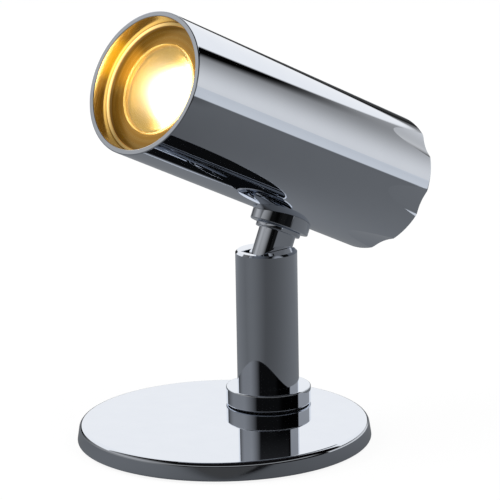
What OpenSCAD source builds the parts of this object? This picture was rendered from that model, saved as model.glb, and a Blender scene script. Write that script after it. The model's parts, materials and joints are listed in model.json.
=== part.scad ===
// Articulated spotlight with an LED lamp: a round weighted base, an upright post
// that turns on its collar, and a tubular head that tilts in the post's slot.
// Sizes are in millimetres, +Z is up, and the origin is the centre of the foot pad's
// resting face. At rest the lens looks along -Y and is raised by head_pitch.

/* [Base] */
// Diameter of the base plate at its foot
base_d = 115; // [110:1:150]
// Thickness of the base plate
base_t = 7; // [6.9:0.1:10]
// Rounding of the plate's top edge
base_edge_r = 1.9; // [1:0.1:3]
// Rounding of the plate's foot edge
base_foot_r = 0.8; // [0.4:0.1:1.2]
// Lean of the plate's edge, in degrees from upright
base_draft = 9; // [0:1:12]
// Distance from the plate's foot edge to the pad
pad_margin = 4; // [3:0.5:6]
// Thickness of the foot pad
pad_t = 1; // [0.8:0.1:2]
// Depth of the pad's seat in the plate
pad_recess = 0.2; // [0.1:0.1:0.4]
// Diameter of the hollow under the plate
hollow_d = 64; // [62:1:68]
// Height of the hollow over its cover
hollow_h = 4; // [3.9:0.1:4.2]
// Place of the hollow's centre along X
hollow_x = -2; // [-4:0.5:1]
// Distance along Y from the post's axis to the hollow's centre
hollow_ahead = 22; // [21.5:0.1:22.4]
// Thickness of the cover sheet
cover_t = 1.2; // [1:0.1:1.5]
// Width of the cover's seat around the hollow
cover_lip = 7; // [6.5:0.1:8]
// Length of the cover screws
cover_screw_len = 4; // [3:0.5:5]
// Diameter of the supply cord that the bush is made for
cord_d = 4; // [3:0.1:4.4]
// Wall of the cord bush
bush_wall = 0.6; // [0.4:0.1:0.7]
// Length of the cord bush
bush_len = 9; // [6:0.5:9.5]
// Distance of the bush's outer end inside the plate's foot edge
bush_setback = 2.4; // [2:0.1:4]
// Height of the bush's axis over the plate's underside
bush_z = 3.6; // [3.4:0.1:3.8]

/* [Swivel] */
// Distance along Y from the plate's foot edge in to the post's axis
post_inset = 29.3; // [29:0.1:40]
// Place of the post's axis along X
post_x = -4.1; // [-10:0.1:6]
// Diameter of the collar
collar_d = 33.8; // [33:0.1:40]
// Height of the collar
collar_h = 6.8; // [6:0.05:10]
// Rounding of the collar's edges
collar_edge_r = 0.6; // [0.3:0.1:1]
// Thickness of the slip washer between the plate and the collar
slip_washer_t = 0.4; // [0.3:0.1:1]
// Distance of the slip washer's edge inside the collar
slip_washer_inset = 1.4; // [1:0.1:1.6]
// Diameter of the swivel spindle
spindle_d = 10; // [9:0.1:11]
// Bore of the spindle, for the leads
spindle_bore = 7; // [5:0.1:7.2]
// Thickness of the washer under the plate
spindle_washer_t = 0.8; // [0.6:0.1:1]
// Thickness of the nut under the plate
spindle_nut_t = 2.7; // [2:0.1:2.8]
// Width across the flats of both spindle nuts
spindle_nut_af = 14; // [13:0.1:15]
// Height of the turning collar's spigot inside the post
spigot_h = 10; // [8:0.5:14]
// Thickness of the spring washer over the spigot
spring_washer_t = 1; // [0.6:0.1:1.5]
// Thickness of the locking nut inside the post
lock_nut_t = 4; // [3:0.1:6]
// Diameter of the swivel's stop pin
stop_pin_d = 2; // [1.5:0.1:2.2]
// Distance of the stop pin from the post's axis
stop_r = 13.4; // [13.2:0.1:13.6]
// Reach of the stop pin into the collar
stop_reach = 2; // [1.5:0.1:3]
// Width of the land that the stop pin meets
stop_land = 3; // [2:0.1:4]

/* [Post] */
// Diameter of the post
post_d = 24.5; // [24.2:0.1:27]
// Wall of the post
post_wall = 2; // [1.5:0.1:2.2]
// Length of the post over the collar
post_len = 55.4; // [50:0.1:90]
// Thickness of the post's top
post_top_t = 2.5; // [2:0.1:3]
// Chamfer of the post's top edge
post_chamfer = 0.8; // [0.3:0.1:1.2]
// Length of the clevis insert inside the post
insert_len = 27; // [25:0.5:27]
// Diameter of the set screws in the post's rear
set_screw_d = 4; // [3:0.1:5]
// Length of the set screws
set_screw_len = 4.6; // [3.5:0.1:5]
// Height of each set screw over the lower end of the piece that it holds
set_screw_z = 5; // [4:0.1:6]
// Bore for the leads through the insert
lead_bore = 6; // [4:0.1:7]

/* [Knuckle] */
// Depth of the tilt pin's axis under the post's top
pivot_depth = 7.6; // [7:0.1:8.4]
// Diameter of the tilt pin
tilt_pin_d = 5; // [4:0.1:5.4]
// Clearance of the tilt pin's ends inside the post
tilt_pin_clear = 0.15; // [0.1:0.05:0.5]
// Length of the neck's blade along the head
blade_len = 17.3; // [16.8:0.1:17.6]
// Thickness of the blade
blade_t = 9.5; // [8.8:0.1:10]
// Diameter of the blade's drum on the tilt pin
drum_d = 16.8; // [15:0.1:16.8]
// Clearance of the blade's ends in the post's slot
slot_clear = 0.35; // [0.3:0.05:0.5]
// Thickness of the friction washers
friction_washer_t = 0.3; // [0.2:0.05:0.5]
// Diameter of the friction washers
friction_washer_d = 14; // [10:0.5:15]
// Clearance of the flange over the post's top corner
flange_gap = 0.6; // [0.4:0.1:3]
// Reach of the flange beyond the blade
flange_lip = 1.6; // [1:0.1:2.2]
// Thickness of the flange
flange_t = 1.9; // [1.5:0.1:3]
// Length of the saddle block along the head
block_len = 26.2; // [24:0.1:34]
// Width of the saddle block
block_w = 15.1; // [14:0.1:20]
// Thickness of the saddle block under the head's lowest line
block_t = 3.95; // [3:0.05:8]
// Diameter of the saddle screws
saddle_screw_d = 3; // [2.5:0.1:3]
// Reach of the saddle screws into the neck
saddle_screw_reach = 7; // [4:0.1:8]
// Distance from the middle of the neck to the front saddle screw
saddle_screw_pitch = 6.2; // [6:0.1:6.4]
// Diameter of the lead's way through the neck
neck_lead_d = 3.6; // [2.5:0.1:3.8]
// Distance from the middle of the neck to the lead's way
neck_lead_y = 5.9; // [5.7:0.1:6.1]

/* [Head] */
// Pitch of the head at rest, lens raised, in degrees
head_pitch = 25; // [10:1:40]
// Diameter of the head
head_d = 56.3; // [52:0.1:64]
// Length of the head ahead of the neck
head_front = 91.65; // [88:0.05:120]
// Length of the head behind the neck
head_rear = 47.1; // [44:0.1:70]
// Wall of the head around the lamp
head_wall = 2.1; // [1.6:0.1:2.4]
// Rounding of the head's front rim
rim_edge_r = 0.4; // [0.2:0.1:0.8]
// Rounding of the head's rear edge
rear_edge_r = 1; // [0.4:0.1:1.5]
// Number of finger flutes around the rear
flute_count = 7; // [5:1:9]
// Length of a flute from the rear edge
flute_len = 21.8; // [14:0.1:26]
// Depth of a flute at the rear edge
flute_depth = 1.65; // [0.8:0.05:1.8]
// Diameter of the round cut that makes a flute
flute_cut_d = 36.8; // [26:0.1:44]
// Turn of the flutes from the head's top, in degrees
flute_turn = 2.5; // [-20:0.5:20]
// Distance from the neck to the bulkhead's rear face
bulkhead_y = 11; // [10:0.5:12]
// Thickness of the bulkhead
bulkhead_t = 6; // [4:0.5:8]
// Lead hole in the bulkhead
bulkhead_bore = 8; // [5:0.5:12]

/* [Lamp] */
// Gap around the lamp in the head's bore
lamp_gap = 1.05; // [0.8:0.05:2]
// Depth of the retaining ring behind the rim
ring_depth = 6.75; // [4:0.05:10]
// Thickness of the retaining ring
ring_t = 1.6; // [1:0.1:2.5]
// Overlap of the retaining ring on the lamp's edge
ring_lap = 0.5; // [0.3:0.1:1.5]
// Thickness of the lamp's bezel
bezel_t = 2.6; // [2.2:0.1:4]
// Diameter of the lens
lens_d = 35.2; // [33:0.1:38]
// Thickness of the lens at its edge
lens_t = 2.4; // [2:0.1:2.5]
// Height of the lens's edge over the bezel
lens_proud = 0.9; // [0.4:0.1:1.2]
// Width of the ledge that the lens rests on
lens_ledge = 1; // [0.6:0.1:1.4]
// Length of the heat sink
sink_len = 31; // [28:0.5:36]
// Height of the heat sink's solid front rim
sink_rim_h = 4; // [3:0.5:6]
// Diameter of the heat sink's rear end
sink_rear_d = 28; // [26:0.5:32]
// Depth of the fins
fin_depth = 5; // [3:0.1:5]
// Number of fins
fin_count = 20; // [12:1:24]
// Thickness of a fin
fin_t = 1.2; // [0.8:0.1:1.6]
// Depth of the optic's pocket in the heat sink
pocket_depth = 15; // [13:0.5:16]
// Diameter of the LED board
board_d = 19; // [16:0.5:20]
// Thickness of the LED board
board_t = 1.4; // [1:0.1:2]
// Diameter of the LED's bright face
chip_d = 8.8; // [6:0.1:9]
// Height of the LED over its board
chip_t = 0.6; // [0.3:0.1:1]
// Wall of the reflector
reflector_wall = 1; // [0.6:0.1:1.4]
// Inner diameter of the reflector's small end
reflector_throat = 10; // [9.5:0.1:12]
// Diameter of the lamp's rear base
lamp_base_d = 22; // [20:0.5:26]
// Length of the lamp's rear base
lamp_base_len = 14; // [10:0.5:16]
// Diameter of the contact pins
contact_d = 3; // [2:0.1:3.5]
// Distance between the contact pins' axes
contact_pitch = 10; // [8:0.1:11]
// Length of the contact pins outside the lamp's base
contact_len = 7; // [5:0.5:8]
// Reach of the contact pins inside the lamp's base
contact_root = 4; // [2:0.5:6]
// Gap between the lamp's base and its holder
holder_gap = 0.4; // [0.2:0.1:0.8]
// Diameter of the lamp holder
holder_d = 30; // [29:0.5:36]
// Diameter of the holder screws
holder_screw_d = 3; // [2:0.1:3.5]
// Distance between the holder screws' axes
holder_screw_pitch = 22; // [21:0.5:23]
// Reach of the holder screws into the holder
holder_screw_reach = 6; // [4:0.5:8]

/* [Tail] */
// Wall of the head around the rear plate
plate_wall = 3.75; // [3.6:0.05:5]
// Width of the rear plate's seat in the head
plate_seat = 3.9; // [3.8:0.1:6]
// Thickness of the rear plate
plate_t = 2.5; // [2:0.1:3.5]
// Depth of the rear plate inside the head's rear edge
plate_inset = 3; // [2:0.1:3.8]
// Distance of the plate screws inside the rear plate's edge
plate_screw_inset = 2.2; // [2.1:0.1:2.3]
// Diameter of the plate screws
plate_screw_d = 2.2; // [1.6:0.1:2.4]
// Length of the plate screws
plate_screw_len = 8; // [6:0.5:12]
// Diameter of the switch's body
switch_d = 18; // [17:0.5:22]
// Length of the switch's body
switch_len = 16; // [15:0.5:20]
// Diameter of the switch's bushing
bushing_d = 12; // [11.5:0.1:13]
// Reach of the bushing beyond the plate
bushing_reach = 2.6; // [2.2:0.1:3]
// Diameter of the switch's ring nut
switch_nut_d = 17; // [15:0.5:20]
// Thickness of the switch's ring nut
switch_nut_t = 2; // [1.2:0.1:2.2]
// Diameter of the push button
button_d = 8.8; // [7:0.1:9]
// Reach of the button beyond the bushing
button_reach = 2.6; // [2.2:0.1:4]
// Diameter of the button's shoulder inside the switch
shoulder_d = 11; // [10:0.1:11.2]
// Height of the button's shoulder
shoulder_h = 2; // [1:0.1:3]
// Depth of the switch's well under the bushing
well_depth = 9; // [8:0.5:10]
// Thickness of the bushing's lip over the shoulder
lip_t = 6; // [5.5:0.1:6.5]
// Way that the button moves when pressed
button_travel = 1.8; // [1:0.1:2]

/* [Hidden] */
$fn = 96;
// Clearance of pieces that are fitted together
fit = 0.05;
// Running clearance of the turning faces
run = 0.05;
// Overlap of cuts beyond the faces that they open
cut = 1;
base_z = pad_t - pad_recess;
base_top = base_z + base_t;
hollow_top = pad_t + cover_t + hollow_h;
pad_r = base_d / 2 - pad_margin;
post_y = base_d / 2 - post_inset;
hollow_y = post_y - hollow_ahead;
cover_r = hollow_d / 2 + cover_lip;
cover_screw_r = hollow_d / 2 + cover_lip / 2;
cover_screw_d = 3;
cover_head_d = 5.4;
bush_r = cord_d / 2 + bush_wall;
bush_end = base_d / 2 - bush_setback;
cord_way_y = hollow_y + hollow_d / 2 - bush_r / 2;
foot_cx = base_d / 2 - base_foot_r;
foot_cz = base_z + base_foot_r;
edge_cz = base_top - base_edge_r;
edge_fall = (edge_cz - foot_cz) * sin(base_draft);
edge_cx = foot_cx + (base_foot_r - base_edge_r - edge_fall) / cos(base_draft);
turn_z = base_top + slip_washer_t + run;
post_z = turn_z + collar_h;
post_top = post_z + post_len;
post_bore_r = post_d / 2 - post_wall;
core_r = post_bore_r - fit;
tilt_pin_len = 2 * (sqrt(pow(core_r, 2) - pow(tilt_pin_d / 2, 2)) - tilt_pin_clear);
spindle_r = spindle_d / 2;
spindle_nut_z = hollow_top - spindle_washer_t - spindle_nut_t;
spigot_top = post_z + spigot_h;
lock_nut_z = spigot_top + run + spring_washer_t;
spindle_top = lock_nut_z + lock_nut_t + 1;
nut_corner_d = spindle_nut_af / cos(30);
groove_clear = 0.3;
groove_in = stop_r - stop_pin_d / 2 - groove_clear;
groove_out = stop_r + stop_pin_d / 2 + groove_clear;
insert_top = post_top - post_top_t;
insert_z = insert_top - insert_len;
pivot_z = post_top - pivot_depth;
slot_r = blade_len / 2 + slot_clear;
slot_w = blade_t + 2 * friction_washer_t + 4 * run;
neck_h = sqrt(pow(post_d / 2, 2) + pow(pivot_depth, 2)) + flange_gap;
head_r = head_d / 2;
block_z = neck_h + flange_t;
axis_h = block_z + block_t + head_r;
bore_r = head_r - head_wall;
chamber_y = bulkhead_y + bulkhead_t;
plate_r = head_r - plate_wall;
tail_r = plate_r - plate_seat;
plate_screw_r = plate_r - plate_screw_inset;
plate_front = plate_t + plate_inset - head_rear;
saddle_head_d = 5.4;
saddle_head_h = 2;
saddle_seat = axis_h - tail_r - saddle_head_h - 0.6;
saddle_screw_end = block_z - saddle_screw_reach;
lamp_r = bore_r - lamp_gap;
ring_front = head_front - ring_depth;
bezel_front = ring_front - ring_t;
sink_front = bezel_front - bezel_t;
sink_rear = sink_front - sink_len;
lens_front = bezel_front + lens_proud;
lens_r = lens_d / 2;
lens_dome_r = 220;
ledge_r = lens_r - lens_ledge;
pocket_z = sink_front - pocket_depth;
pocket_floor_r = board_d / 2 + 0.2;
board_front = pocket_z + board_t;
lamp_base_rear = sink_rear - lamp_base_len;
holder_front = lamp_base_rear - holder_gap;
bushing_r = bushing_d / 2;
bushing_end = plate_front - plate_t - bushing_reach;
well_top = bushing_end + lip_t;
well_r = shoulder_d / 2 + 0.3;
button_r = button_d / 2;
button_run = 0.08;

// Frame of the post's axis, from the resting face up
module at_post() {
    translate([post_x, post_y, 0]) children();
}

// Frame of the tilt pin: X along the pin, Z up the neck, -Y towards the lens
module at_pivot() {
    at_post() translate([0, 0, pivot_z]) rotate([-head_pitch, 0, 0]) children();
}

// Frame of the head's axis: Z towards the lens, Y up
module along_head() {
    at_pivot() translate([0, 0, axis_h]) rotate([90, 0, 0]) children();
}

// Frame of the hollow under the base plate
module at_hollow() {
    translate([hollow_x, hollow_y, 0]) children();
}

// Round bar from z0 to z1, hollow if inner is over zero
module ring(outer, inner, z0, z1) {
    difference() {
        translate([0, 0, z0]) cylinder(r = outer, h = z1 - z0);
        if (inner > 0) {
            translate([0, 0, z0 - cut]) cylinder(r = inner, h = z1 - z0 + 2 * cut);
        }
    }
}

// Turned bar from z0 to z1 with rounded outer edges, e0 below and e1 above
module turned(r, z0, z1, e0, e1) {
    rotate_extrude() {
        translate([0, z0]) square([r - max(e0, e1), z1 - z0]);
        translate([0, z0 + e0]) square([r, z1 - z0 - e0 - e1]);
        intersection() {
            translate([r - e0, z0 + e0]) circle(r = e0);
            translate([r - e0, z0]) square([e0, e0]);
        }
        intersection() {
            translate([r - e1, z1 - e1]) circle(r = e1);
            translate([r - e1, z1 - e1]) square([e1, e1]);
        }
    }
}

// Bar of rounded ends, len along Y and w along X, from z0 to z1
module obround(len, w, z0, z1) {
    translate([-w / 2, -(len - w) / 2, z0]) cube([w, len - w, z1 - z0]);
    for (side = [-1, 1]) {
        translate([0, side * (len - w) / 2, z0]) cylinder(d = w, h = z1 - z0);
    }
}

// Hexagon nut with a round bore
module hex_nut(bore_d, z0, z1) {
    difference() {
        translate([0, 0, z0]) cylinder(d = nut_corner_d, h = z1 - z0, $fn = 6);
        translate([0, 0, z0 - cut]) cylinder(d = bore_d, h = z1 - z0 + 2 * cut);
    }
}

// Places of the cover screws
module at_cover_screws() {
    for (turn = [30, 150, 270]) {
        at_hollow() rotate([0, 0, turn]) translate([cover_screw_r, 0, 0]) children();
    }
}

// Places of the set screws, X outward through the post's rear
module at_set_screws() {
    for (z = [post_z, insert_z]) {
        at_post() translate([0, 0, z + set_screw_z]) rotate([0, 0, 90]) children();
    }
}

// Places of the saddle screws along the neck
module at_saddle_screws() {
    for (y = [-saddle_screw_pitch, 0]) {
        at_pivot() translate([0, y, 0]) children();
    }
}

// Places of the plate screws around the head's axis
module at_plate_screws() {
    for (turn = [30, 150, 270]) {
        along_head() rotate([0, 0, turn]) translate([plate_screw_r, 0, 0]) children();
    }
}

// Places of the contact pins and of the holder screws, both in pairs across the head
module pair(pitch) {
    for (side = [-1, 1]) {
        along_head() translate([side * pitch / 2, 0, 0]) children();
    }
}

// Room that the neck sweeps in the post, open to the top and the rear
module knuckle_slot() {
    at_post() translate([-slot_w / 2, 0, pivot_z]) {
        rotate([0, 90, 0]) cylinder(r = slot_r, h = slot_w);
        translate([0, -slot_r, 0]) cube([slot_w, slot_r + post_d, pivot_depth + cut]);
        translate([0, 0, -slot_r]) cube([slot_w, post_d, slot_r + pivot_depth + cut]);
    }
}

// Solid turned outline of the base plate
module base_blank() {
    rotate_extrude() {
        polygon([
            [0, base_z], [foot_cx, base_z],
            [foot_cx + base_foot_r * cos(base_draft), foot_cz + base_foot_r * sin(base_draft)],
            [edge_cx + base_edge_r * cos(base_draft), edge_cz + base_edge_r * sin(base_draft)],
            [edge_cx, base_top], [0, base_top]
        ]);
        translate([foot_cx, foot_cz]) circle(r = base_foot_r);
        translate([edge_cx, edge_cz]) circle(r = base_edge_r);
    }
}

// Weighted plate with the hollow, its seats, the cord's way and the swivel's holes
module base_plate() {
    color([0.80, 0.80, 0.83]) difference() {
        base_blank();
        translate([0, 0, base_z - cut]) cylinder(r = pad_r + fit, h = pad_recess + cut);
        at_hollow() translate([0, 0, base_z]) cylinder(d = hollow_d, h = hollow_top - base_z);
        at_hollow() translate([0, 0, base_z]) cylinder(r = cover_r + fit, h = pad_recess + cover_t);
        at_cover_screws() translate([0, 0, base_z]) {
            cylinder(d = cover_screw_d + 2 * fit, h = pad_recess + cover_screw_len + fit);
        }
        translate([0, cord_way_y, base_z + bush_z]) rotate([-90, 0, 0]) {
            cylinder(r = bush_r + fit, h = base_d);
        }
        at_post() cylinder(r = spindle_r + fit, h = base_top + cut);
        at_post() stop_pin_hole();
    }
}

// Soft disc that the light stands on
module foot_pad() {
    color([0.10, 0.10, 0.11]) cylinder(r = pad_r, h = pad_t);
}

// Sheet that closes the hollow, let into the plate's underside
module bottom_cover() {
    color([0.62, 0.63, 0.65]) difference() {
        at_hollow() translate([0, 0, pad_t]) cylinder(r = cover_r, h = cover_t);
        at_cover_screws() translate([0, 0, pad_t - cut]) {
            cylinder(d = cover_head_d + 2 * fit, h = cover_t + 2 * cut);
        }
    }
}

// Three flat-headed screws of the cover
module cover_screws() {
    color([0.70, 0.70, 0.72]) at_cover_screws() translate([0, 0, pad_t]) {
        cylinder(d = cover_head_d, h = cover_t);
        cylinder(d = cover_screw_d, h = cover_screw_len);
    }
}

// Rubber bush of the cord's way out through the plate's edge
module cord_bush() {
    color([0.08, 0.08, 0.09]) translate([0, bush_end, base_z + bush_z]) rotate([90, 0, 0]) {
        ring(bush_r, cord_d / 2, 0, bush_len);
    }
}

// Dark washer that the turning collar slides on
module slip_washer() {
    color([0.07, 0.07, 0.08]) at_post() difference() {
        ring(collar_d / 2 - slip_washer_inset, spindle_r + fit, base_top, base_top + slip_washer_t);
        stop_pin_hole();
    }
}

// Hole of the stop pin through the plate's web and the slip washer
module stop_pin_hole() {
    translate([-stop_r, 0, hollow_top - cut]) cylinder(d = stop_pin_d + 2 * fit, h = base_t);
}

// Hollow spindle that holds the stack together and carries the leads
module swivel_spindle() {
    color([0.66, 0.66, 0.68]) at_post() {
        ring(spindle_r, spindle_bore / 2, spindle_nut_z, spindle_top);
    }
}

// Washer between the plate and its nut
module spindle_washer() {
    color([0.66, 0.66, 0.68]) at_post() {
        ring(nut_corner_d / 2, spindle_r + fit, hollow_top - spindle_washer_t, hollow_top);
    }
}

// Nut that clamps the spindle to the plate
module spindle_nut() {
    color([0.66, 0.66, 0.68]) at_post() {
        hex_nut(spindle_d + 2 * fit, spindle_nut_z, spindle_nut_z + spindle_nut_t);
    }
}

// Pin in the plate that limits the swivel
module stop_pin() {
    color([0.60, 0.60, 0.62]) at_post() translate([-stop_r, 0, hollow_top]) {
        cylinder(d = stop_pin_d, h = turn_z + stop_reach - hollow_top);
    }
}

// Spring washer that keeps the swivel's friction
module spring_washer() {
    color([0.60, 0.60, 0.62]) at_post() {
        ring(nut_corner_d / 2, spindle_r + fit, spigot_top + run, lock_nut_z);
    }
}

// Nut that loads the spring washer, inside the post
module lock_nut() {
    color([0.66, 0.66, 0.68]) at_post() {
        hex_nut(spindle_d + 2 * fit, lock_nut_z, lock_nut_z + lock_nut_t);
    }
}

// Collar with the spigot that the post is fixed on and the stop pin's groove
module turning_collar() {
    color([0.80, 0.80, 0.83]) difference() {
        at_post() difference() {
            union() {
                turned(collar_d / 2, turn_z, post_z, collar_edge_r, collar_edge_r);
                ring(core_r, 0, turn_z + collar_h / 2, spigot_top);
            }
            translate([0, 0, turn_z - cut]) cylinder(r = spindle_r + run, h = spigot_top);
            difference() {
                ring(groove_out, groove_in, turn_z - cut, turn_z + stop_reach + groove_clear);
                translate([0, -stop_land / 2, turn_z - cut]) cube([collar_d, stop_land, collar_h]);
            }
        }
        at_set_screws() set_screw_hole();
    }
}

// Upright tube with its closed top, slotted for the neck
module post_sleeve() {
    color([0.80, 0.80, 0.83]) difference() {
        at_post() difference() {
            union() {
                ring(post_d / 2, 0, post_z, post_top - post_chamfer);
                translate([0, 0, post_top - post_chamfer]) {
                    cylinder(r1 = post_d / 2, r2 = post_d / 2 - post_chamfer, h = post_chamfer);
                }
            }
            translate([0, 0, post_z - cut]) cylinder(r = post_bore_r, h = insert_top - post_z + cut);
        }
        knuckle_slot();
        at_set_screws() set_screw_hole();
    }
}

// Core in the post's top that carries the tilt pin
module clevis_insert() {
    color([0.66, 0.66, 0.68]) difference() {
        at_post() difference() {
            ring(core_r, 0, insert_z, insert_top);
            translate([-post_d / 2, 0, pivot_z]) rotate([0, 90, 0]) {
                cylinder(d = tilt_pin_d + 2 * fit, h = post_d);
            }
            translate([0, 0, insert_z - cut]) cylinder(d = lead_bore, h = insert_len);
        }
        knuckle_slot();
        at_set_screws() set_screw_hole();
    }
}

// Tapped hole of a set screw
module set_screw_hole() {
    translate([post_d / 2 - set_screw_len - fit, 0, 0]) rotate([0, 90, 0]) {
        cylinder(d = set_screw_d + 2 * fit, h = post_d);
    }
}

// Two set screws with hexagon sockets, flush in the post's rear
module set_screws() {
    socket_d = set_screw_d / 2;
    socket_h = set_screw_len / 2;
    sink = 0.3;
    color([0.30, 0.30, 0.32]) at_set_screws() translate([post_d / 2 - set_screw_len, 0, 0]) {
        rotate([0, 90, 0]) difference() {
            cylinder(d = set_screw_d, h = set_screw_len - sink);
            translate([0, 0, socket_h]) cylinder(d = socket_d, h = set_screw_len, $fn = 6);
        }
    }
}

// Pin that the head tilts on, held in the insert
module tilt_pin() {
    color([0.66, 0.66, 0.68]) at_post() translate([-tilt_pin_len / 2, 0, pivot_z]) {
        rotate([0, 90, 0]) cylinder(d = tilt_pin_d, h = tilt_pin_len);
    }
}

// Two thin washers beside the blade that hold the tilt by friction
module friction_washers() {
    inner = blade_t / 2 + run;
    color([0.55, 0.50, 0.38]) at_post() translate([0, 0, pivot_z]) for (side = [0, 180]) {
        rotate([0, 90, side]) {
            ring(friction_washer_d / 2, tilt_pin_d / 2 + fit, inner, inner + friction_washer_t);
        }
    }
}

// Blade on the tilt pin with the flange under the saddle block
module neck() {
    color([0.80, 0.80, 0.83]) difference() {
        at_pivot() difference() {
            union() {
                obround(blade_len, blade_t, 0, neck_h + flange_t / 2);
                translate([-blade_t / 2, 0, 0]) rotate([0, 90, 0]) cylinder(d = drum_d, h = blade_t);
                obround(blade_len + 2 * flange_lip, blade_t + 2 * flange_lip, neck_h, block_z);
            }
            translate([-blade_t, 0, 0]) rotate([0, 90, 0]) {
                cylinder(d = tilt_pin_d + 2 * run, h = 2 * blade_t);
            }
            neck_lead_hole();
        }
        at_saddle_screws() saddle_screw_hole();
    }
}

// Way of the lead from the drum through the neck into the head
module neck_lead_hole() {
    translate([0, neck_lead_y, -drum_d]) cylinder(d = neck_lead_d, h = drum_d + axis_h);
}

// Hole and head seat of a saddle screw
module saddle_screw_hole() {
    translate([0, 0, saddle_screw_end - fit]) cylinder(d = saddle_screw_d + 2 * fit, h = axis_h);
    translate([0, 0, saddle_seat]) cylinder(d = saddle_head_d + 4 * fit, h = tail_r);
}

// Block between the flange and the head, hollowed to the head's round
module saddle_block() {
    color([0.80, 0.80, 0.83]) difference() {
        at_pivot() difference() {
            obround(block_len, block_w, block_z, block_z + block_t + head_r / 4);
            translate([0, 0, axis_h]) rotate([90, 0, 0]) {
                cylinder(r = head_r + fit, h = 2 * block_len, center = true);
            }
            neck_lead_hole();
        }
        at_saddle_screws() saddle_screw_hole();
    }
}

// Two screws from the tail chamber through the block into the neck
module saddle_screws() {
    color([0.66, 0.66, 0.68]) at_saddle_screws() {
        ring(saddle_screw_d / 2, 0, saddle_screw_end, saddle_seat + saddle_head_h / 2);
        ring(saddle_head_d / 2, 0, saddle_seat, saddle_seat + saddle_head_h);
    }
}

// Round cut of one flute, deepest at the rear edge
module flute_cut() {
    fall = atan(flute_depth / flute_len);
    translate([0, head_r + flute_cut_d / 2 - flute_depth, -head_rear]) rotate([-fall, 0, 0]) {
        cylinder(d = flute_cut_d, h = 3 * flute_len, center = true);
    }
}

// Tubular head: lamp bore, bulkhead, tail chamber and finger flutes
module head_body() {
    color([0.80, 0.80, 0.83]) difference() {
        along_head() difference() {
            turned(head_r, -head_rear, head_front, rear_edge_r, rim_edge_r);
            translate([0, 0, chamber_y]) cylinder(r = bore_r, h = head_front);
            translate([0, 0, bulkhead_y - cut]) cylinder(d = bulkhead_bore, h = bulkhead_t + 2 * cut);
            translate([0, 0, plate_front - cut]) cylinder(r = tail_r, h = bulkhead_y - plate_front + cut);
            translate([0, 0, -head_rear - cut]) {
                cylinder(r = plate_r + fit, h = plate_inset + plate_t + cut);
            }
            for (i = [0 : flute_count - 1]) {
                rotate([0, 0, flute_turn + i * 360 / flute_count]) flute_cut();
            }
        }
        at_saddle_screws() saddle_screw_hole();
        at_pivot() neck_lead_hole();
        pair(holder_screw_pitch) translate([0, 0, bulkhead_y - cut]) {
            cylinder(d = holder_screw_d + 2 * fit, h = bulkhead_t + 2 * cut);
        }
        at_plate_screws() translate([0, 0, plate_front - plate_t]) {
            cylinder(d = plate_screw_d + 2 * fit, h = plate_screw_len + fit);
        }
    }
}

// Spring ring that keeps the lamp in the bore
module front_ring() {
    color([0.72, 0.72, 0.74]) along_head() ring(bore_r - fit, lamp_r - ring_lap, bezel_front, ring_front);
}

// Flat front of the lamp around the lens, with the ledge behind it
module lamp_bezel() {
    color([0.78, 0.76, 0.72]) along_head() difference() {
        ring(lamp_r, ledge_r, sink_front, bezel_front);
        translate([0, 0, lens_front - lens_t - fit]) cylinder(r = lens_r + fit, h = bezel_t + lens_t);
    }
}

// Clear lens, slightly domed in front
module lens() {
    dome_z = lens_front - sqrt(pow(lens_dome_r, 2) - pow(lens_r, 2));
    color([0.95, 0.90, 0.75]) along_head() rotate_extrude() intersection() {
        translate([0, lens_front - lens_t]) square([lens_r, 2 * lens_t]);
        translate([0, dome_z]) circle(r = lens_dome_r, $fn = 1440);
    }
}

// Bright cone between the LED and the lens
module reflector() {
    wide = ledge_r - 0.2;
    throat = reflector_throat / 2;
    front = sink_front - fit;
    color([0.85, 0.85, 0.86]) along_head() rotate_extrude() {
        polygon([
            [throat, board_front], [throat + reflector_wall, board_front],
            [wide, front], [wide - reflector_wall, front]
        ]);
    }
}

// Round board that carries the LED
module led_board() {
    color([0.90, 0.90, 0.88]) along_head() ring(board_d / 2, 0, pocket_z, board_front);
}

// Bright face of the LED
module led_chip() {
    color([1.0, 0.82, 0.40]) along_head() ring(chip_d / 2, 0, board_front, board_front + chip_t);
}

// Finned body of the lamp with the pocket for the optic
module heat_sink() {
    fin_len = sink_len - sink_rim_h;
    core_front = lamp_r - fin_depth;
    core_rear = sink_rear_d / 2 - fin_depth / 2;
    color([0.60, 0.61, 0.63]) along_head() difference() {
        union() {
            ring(lamp_r, 0, sink_front - sink_rim_h, sink_front);
            translate([0, 0, sink_rear]) cylinder(r1 = core_rear, r2 = core_front, h = fin_len);
            intersection() {
                translate([0, 0, sink_rear]) cylinder(r1 = sink_rear_d / 2, r2 = lamp_r, h = fin_len);
                for (i = [0 : fin_count - 1]) {
                    rotate([0, 0, i * 360 / fin_count]) translate([0, -fin_t / 2, sink_rear]) {
                        cube([lamp_r, fin_t, fin_len]);
                    }
                }
            }
        }
        translate([0, 0, pocket_z]) cylinder(r1 = pocket_floor_r, r2 = ledge_r, h = pocket_depth);
    }
}

// Moulded rear end of the lamp
module lamp_base() {
    color([0.90, 0.90, 0.88]) difference() {
        along_head() ring(lamp_base_d / 2, 0, lamp_base_rear, sink_rear);
        pair(contact_pitch) translate([0, 0, lamp_base_rear - cut]) {
            cylinder(d = contact_d + 2 * fit, h = contact_root + fit + cut);
        }
    }
}

// Two pins that plug the lamp into its holder
module contact_pins() {
    color([0.80, 0.70, 0.45]) pair(contact_pitch) {
        ring(contact_d / 2, 0, lamp_base_rear - contact_len, lamp_base_rear + contact_root);
    }
}

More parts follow.
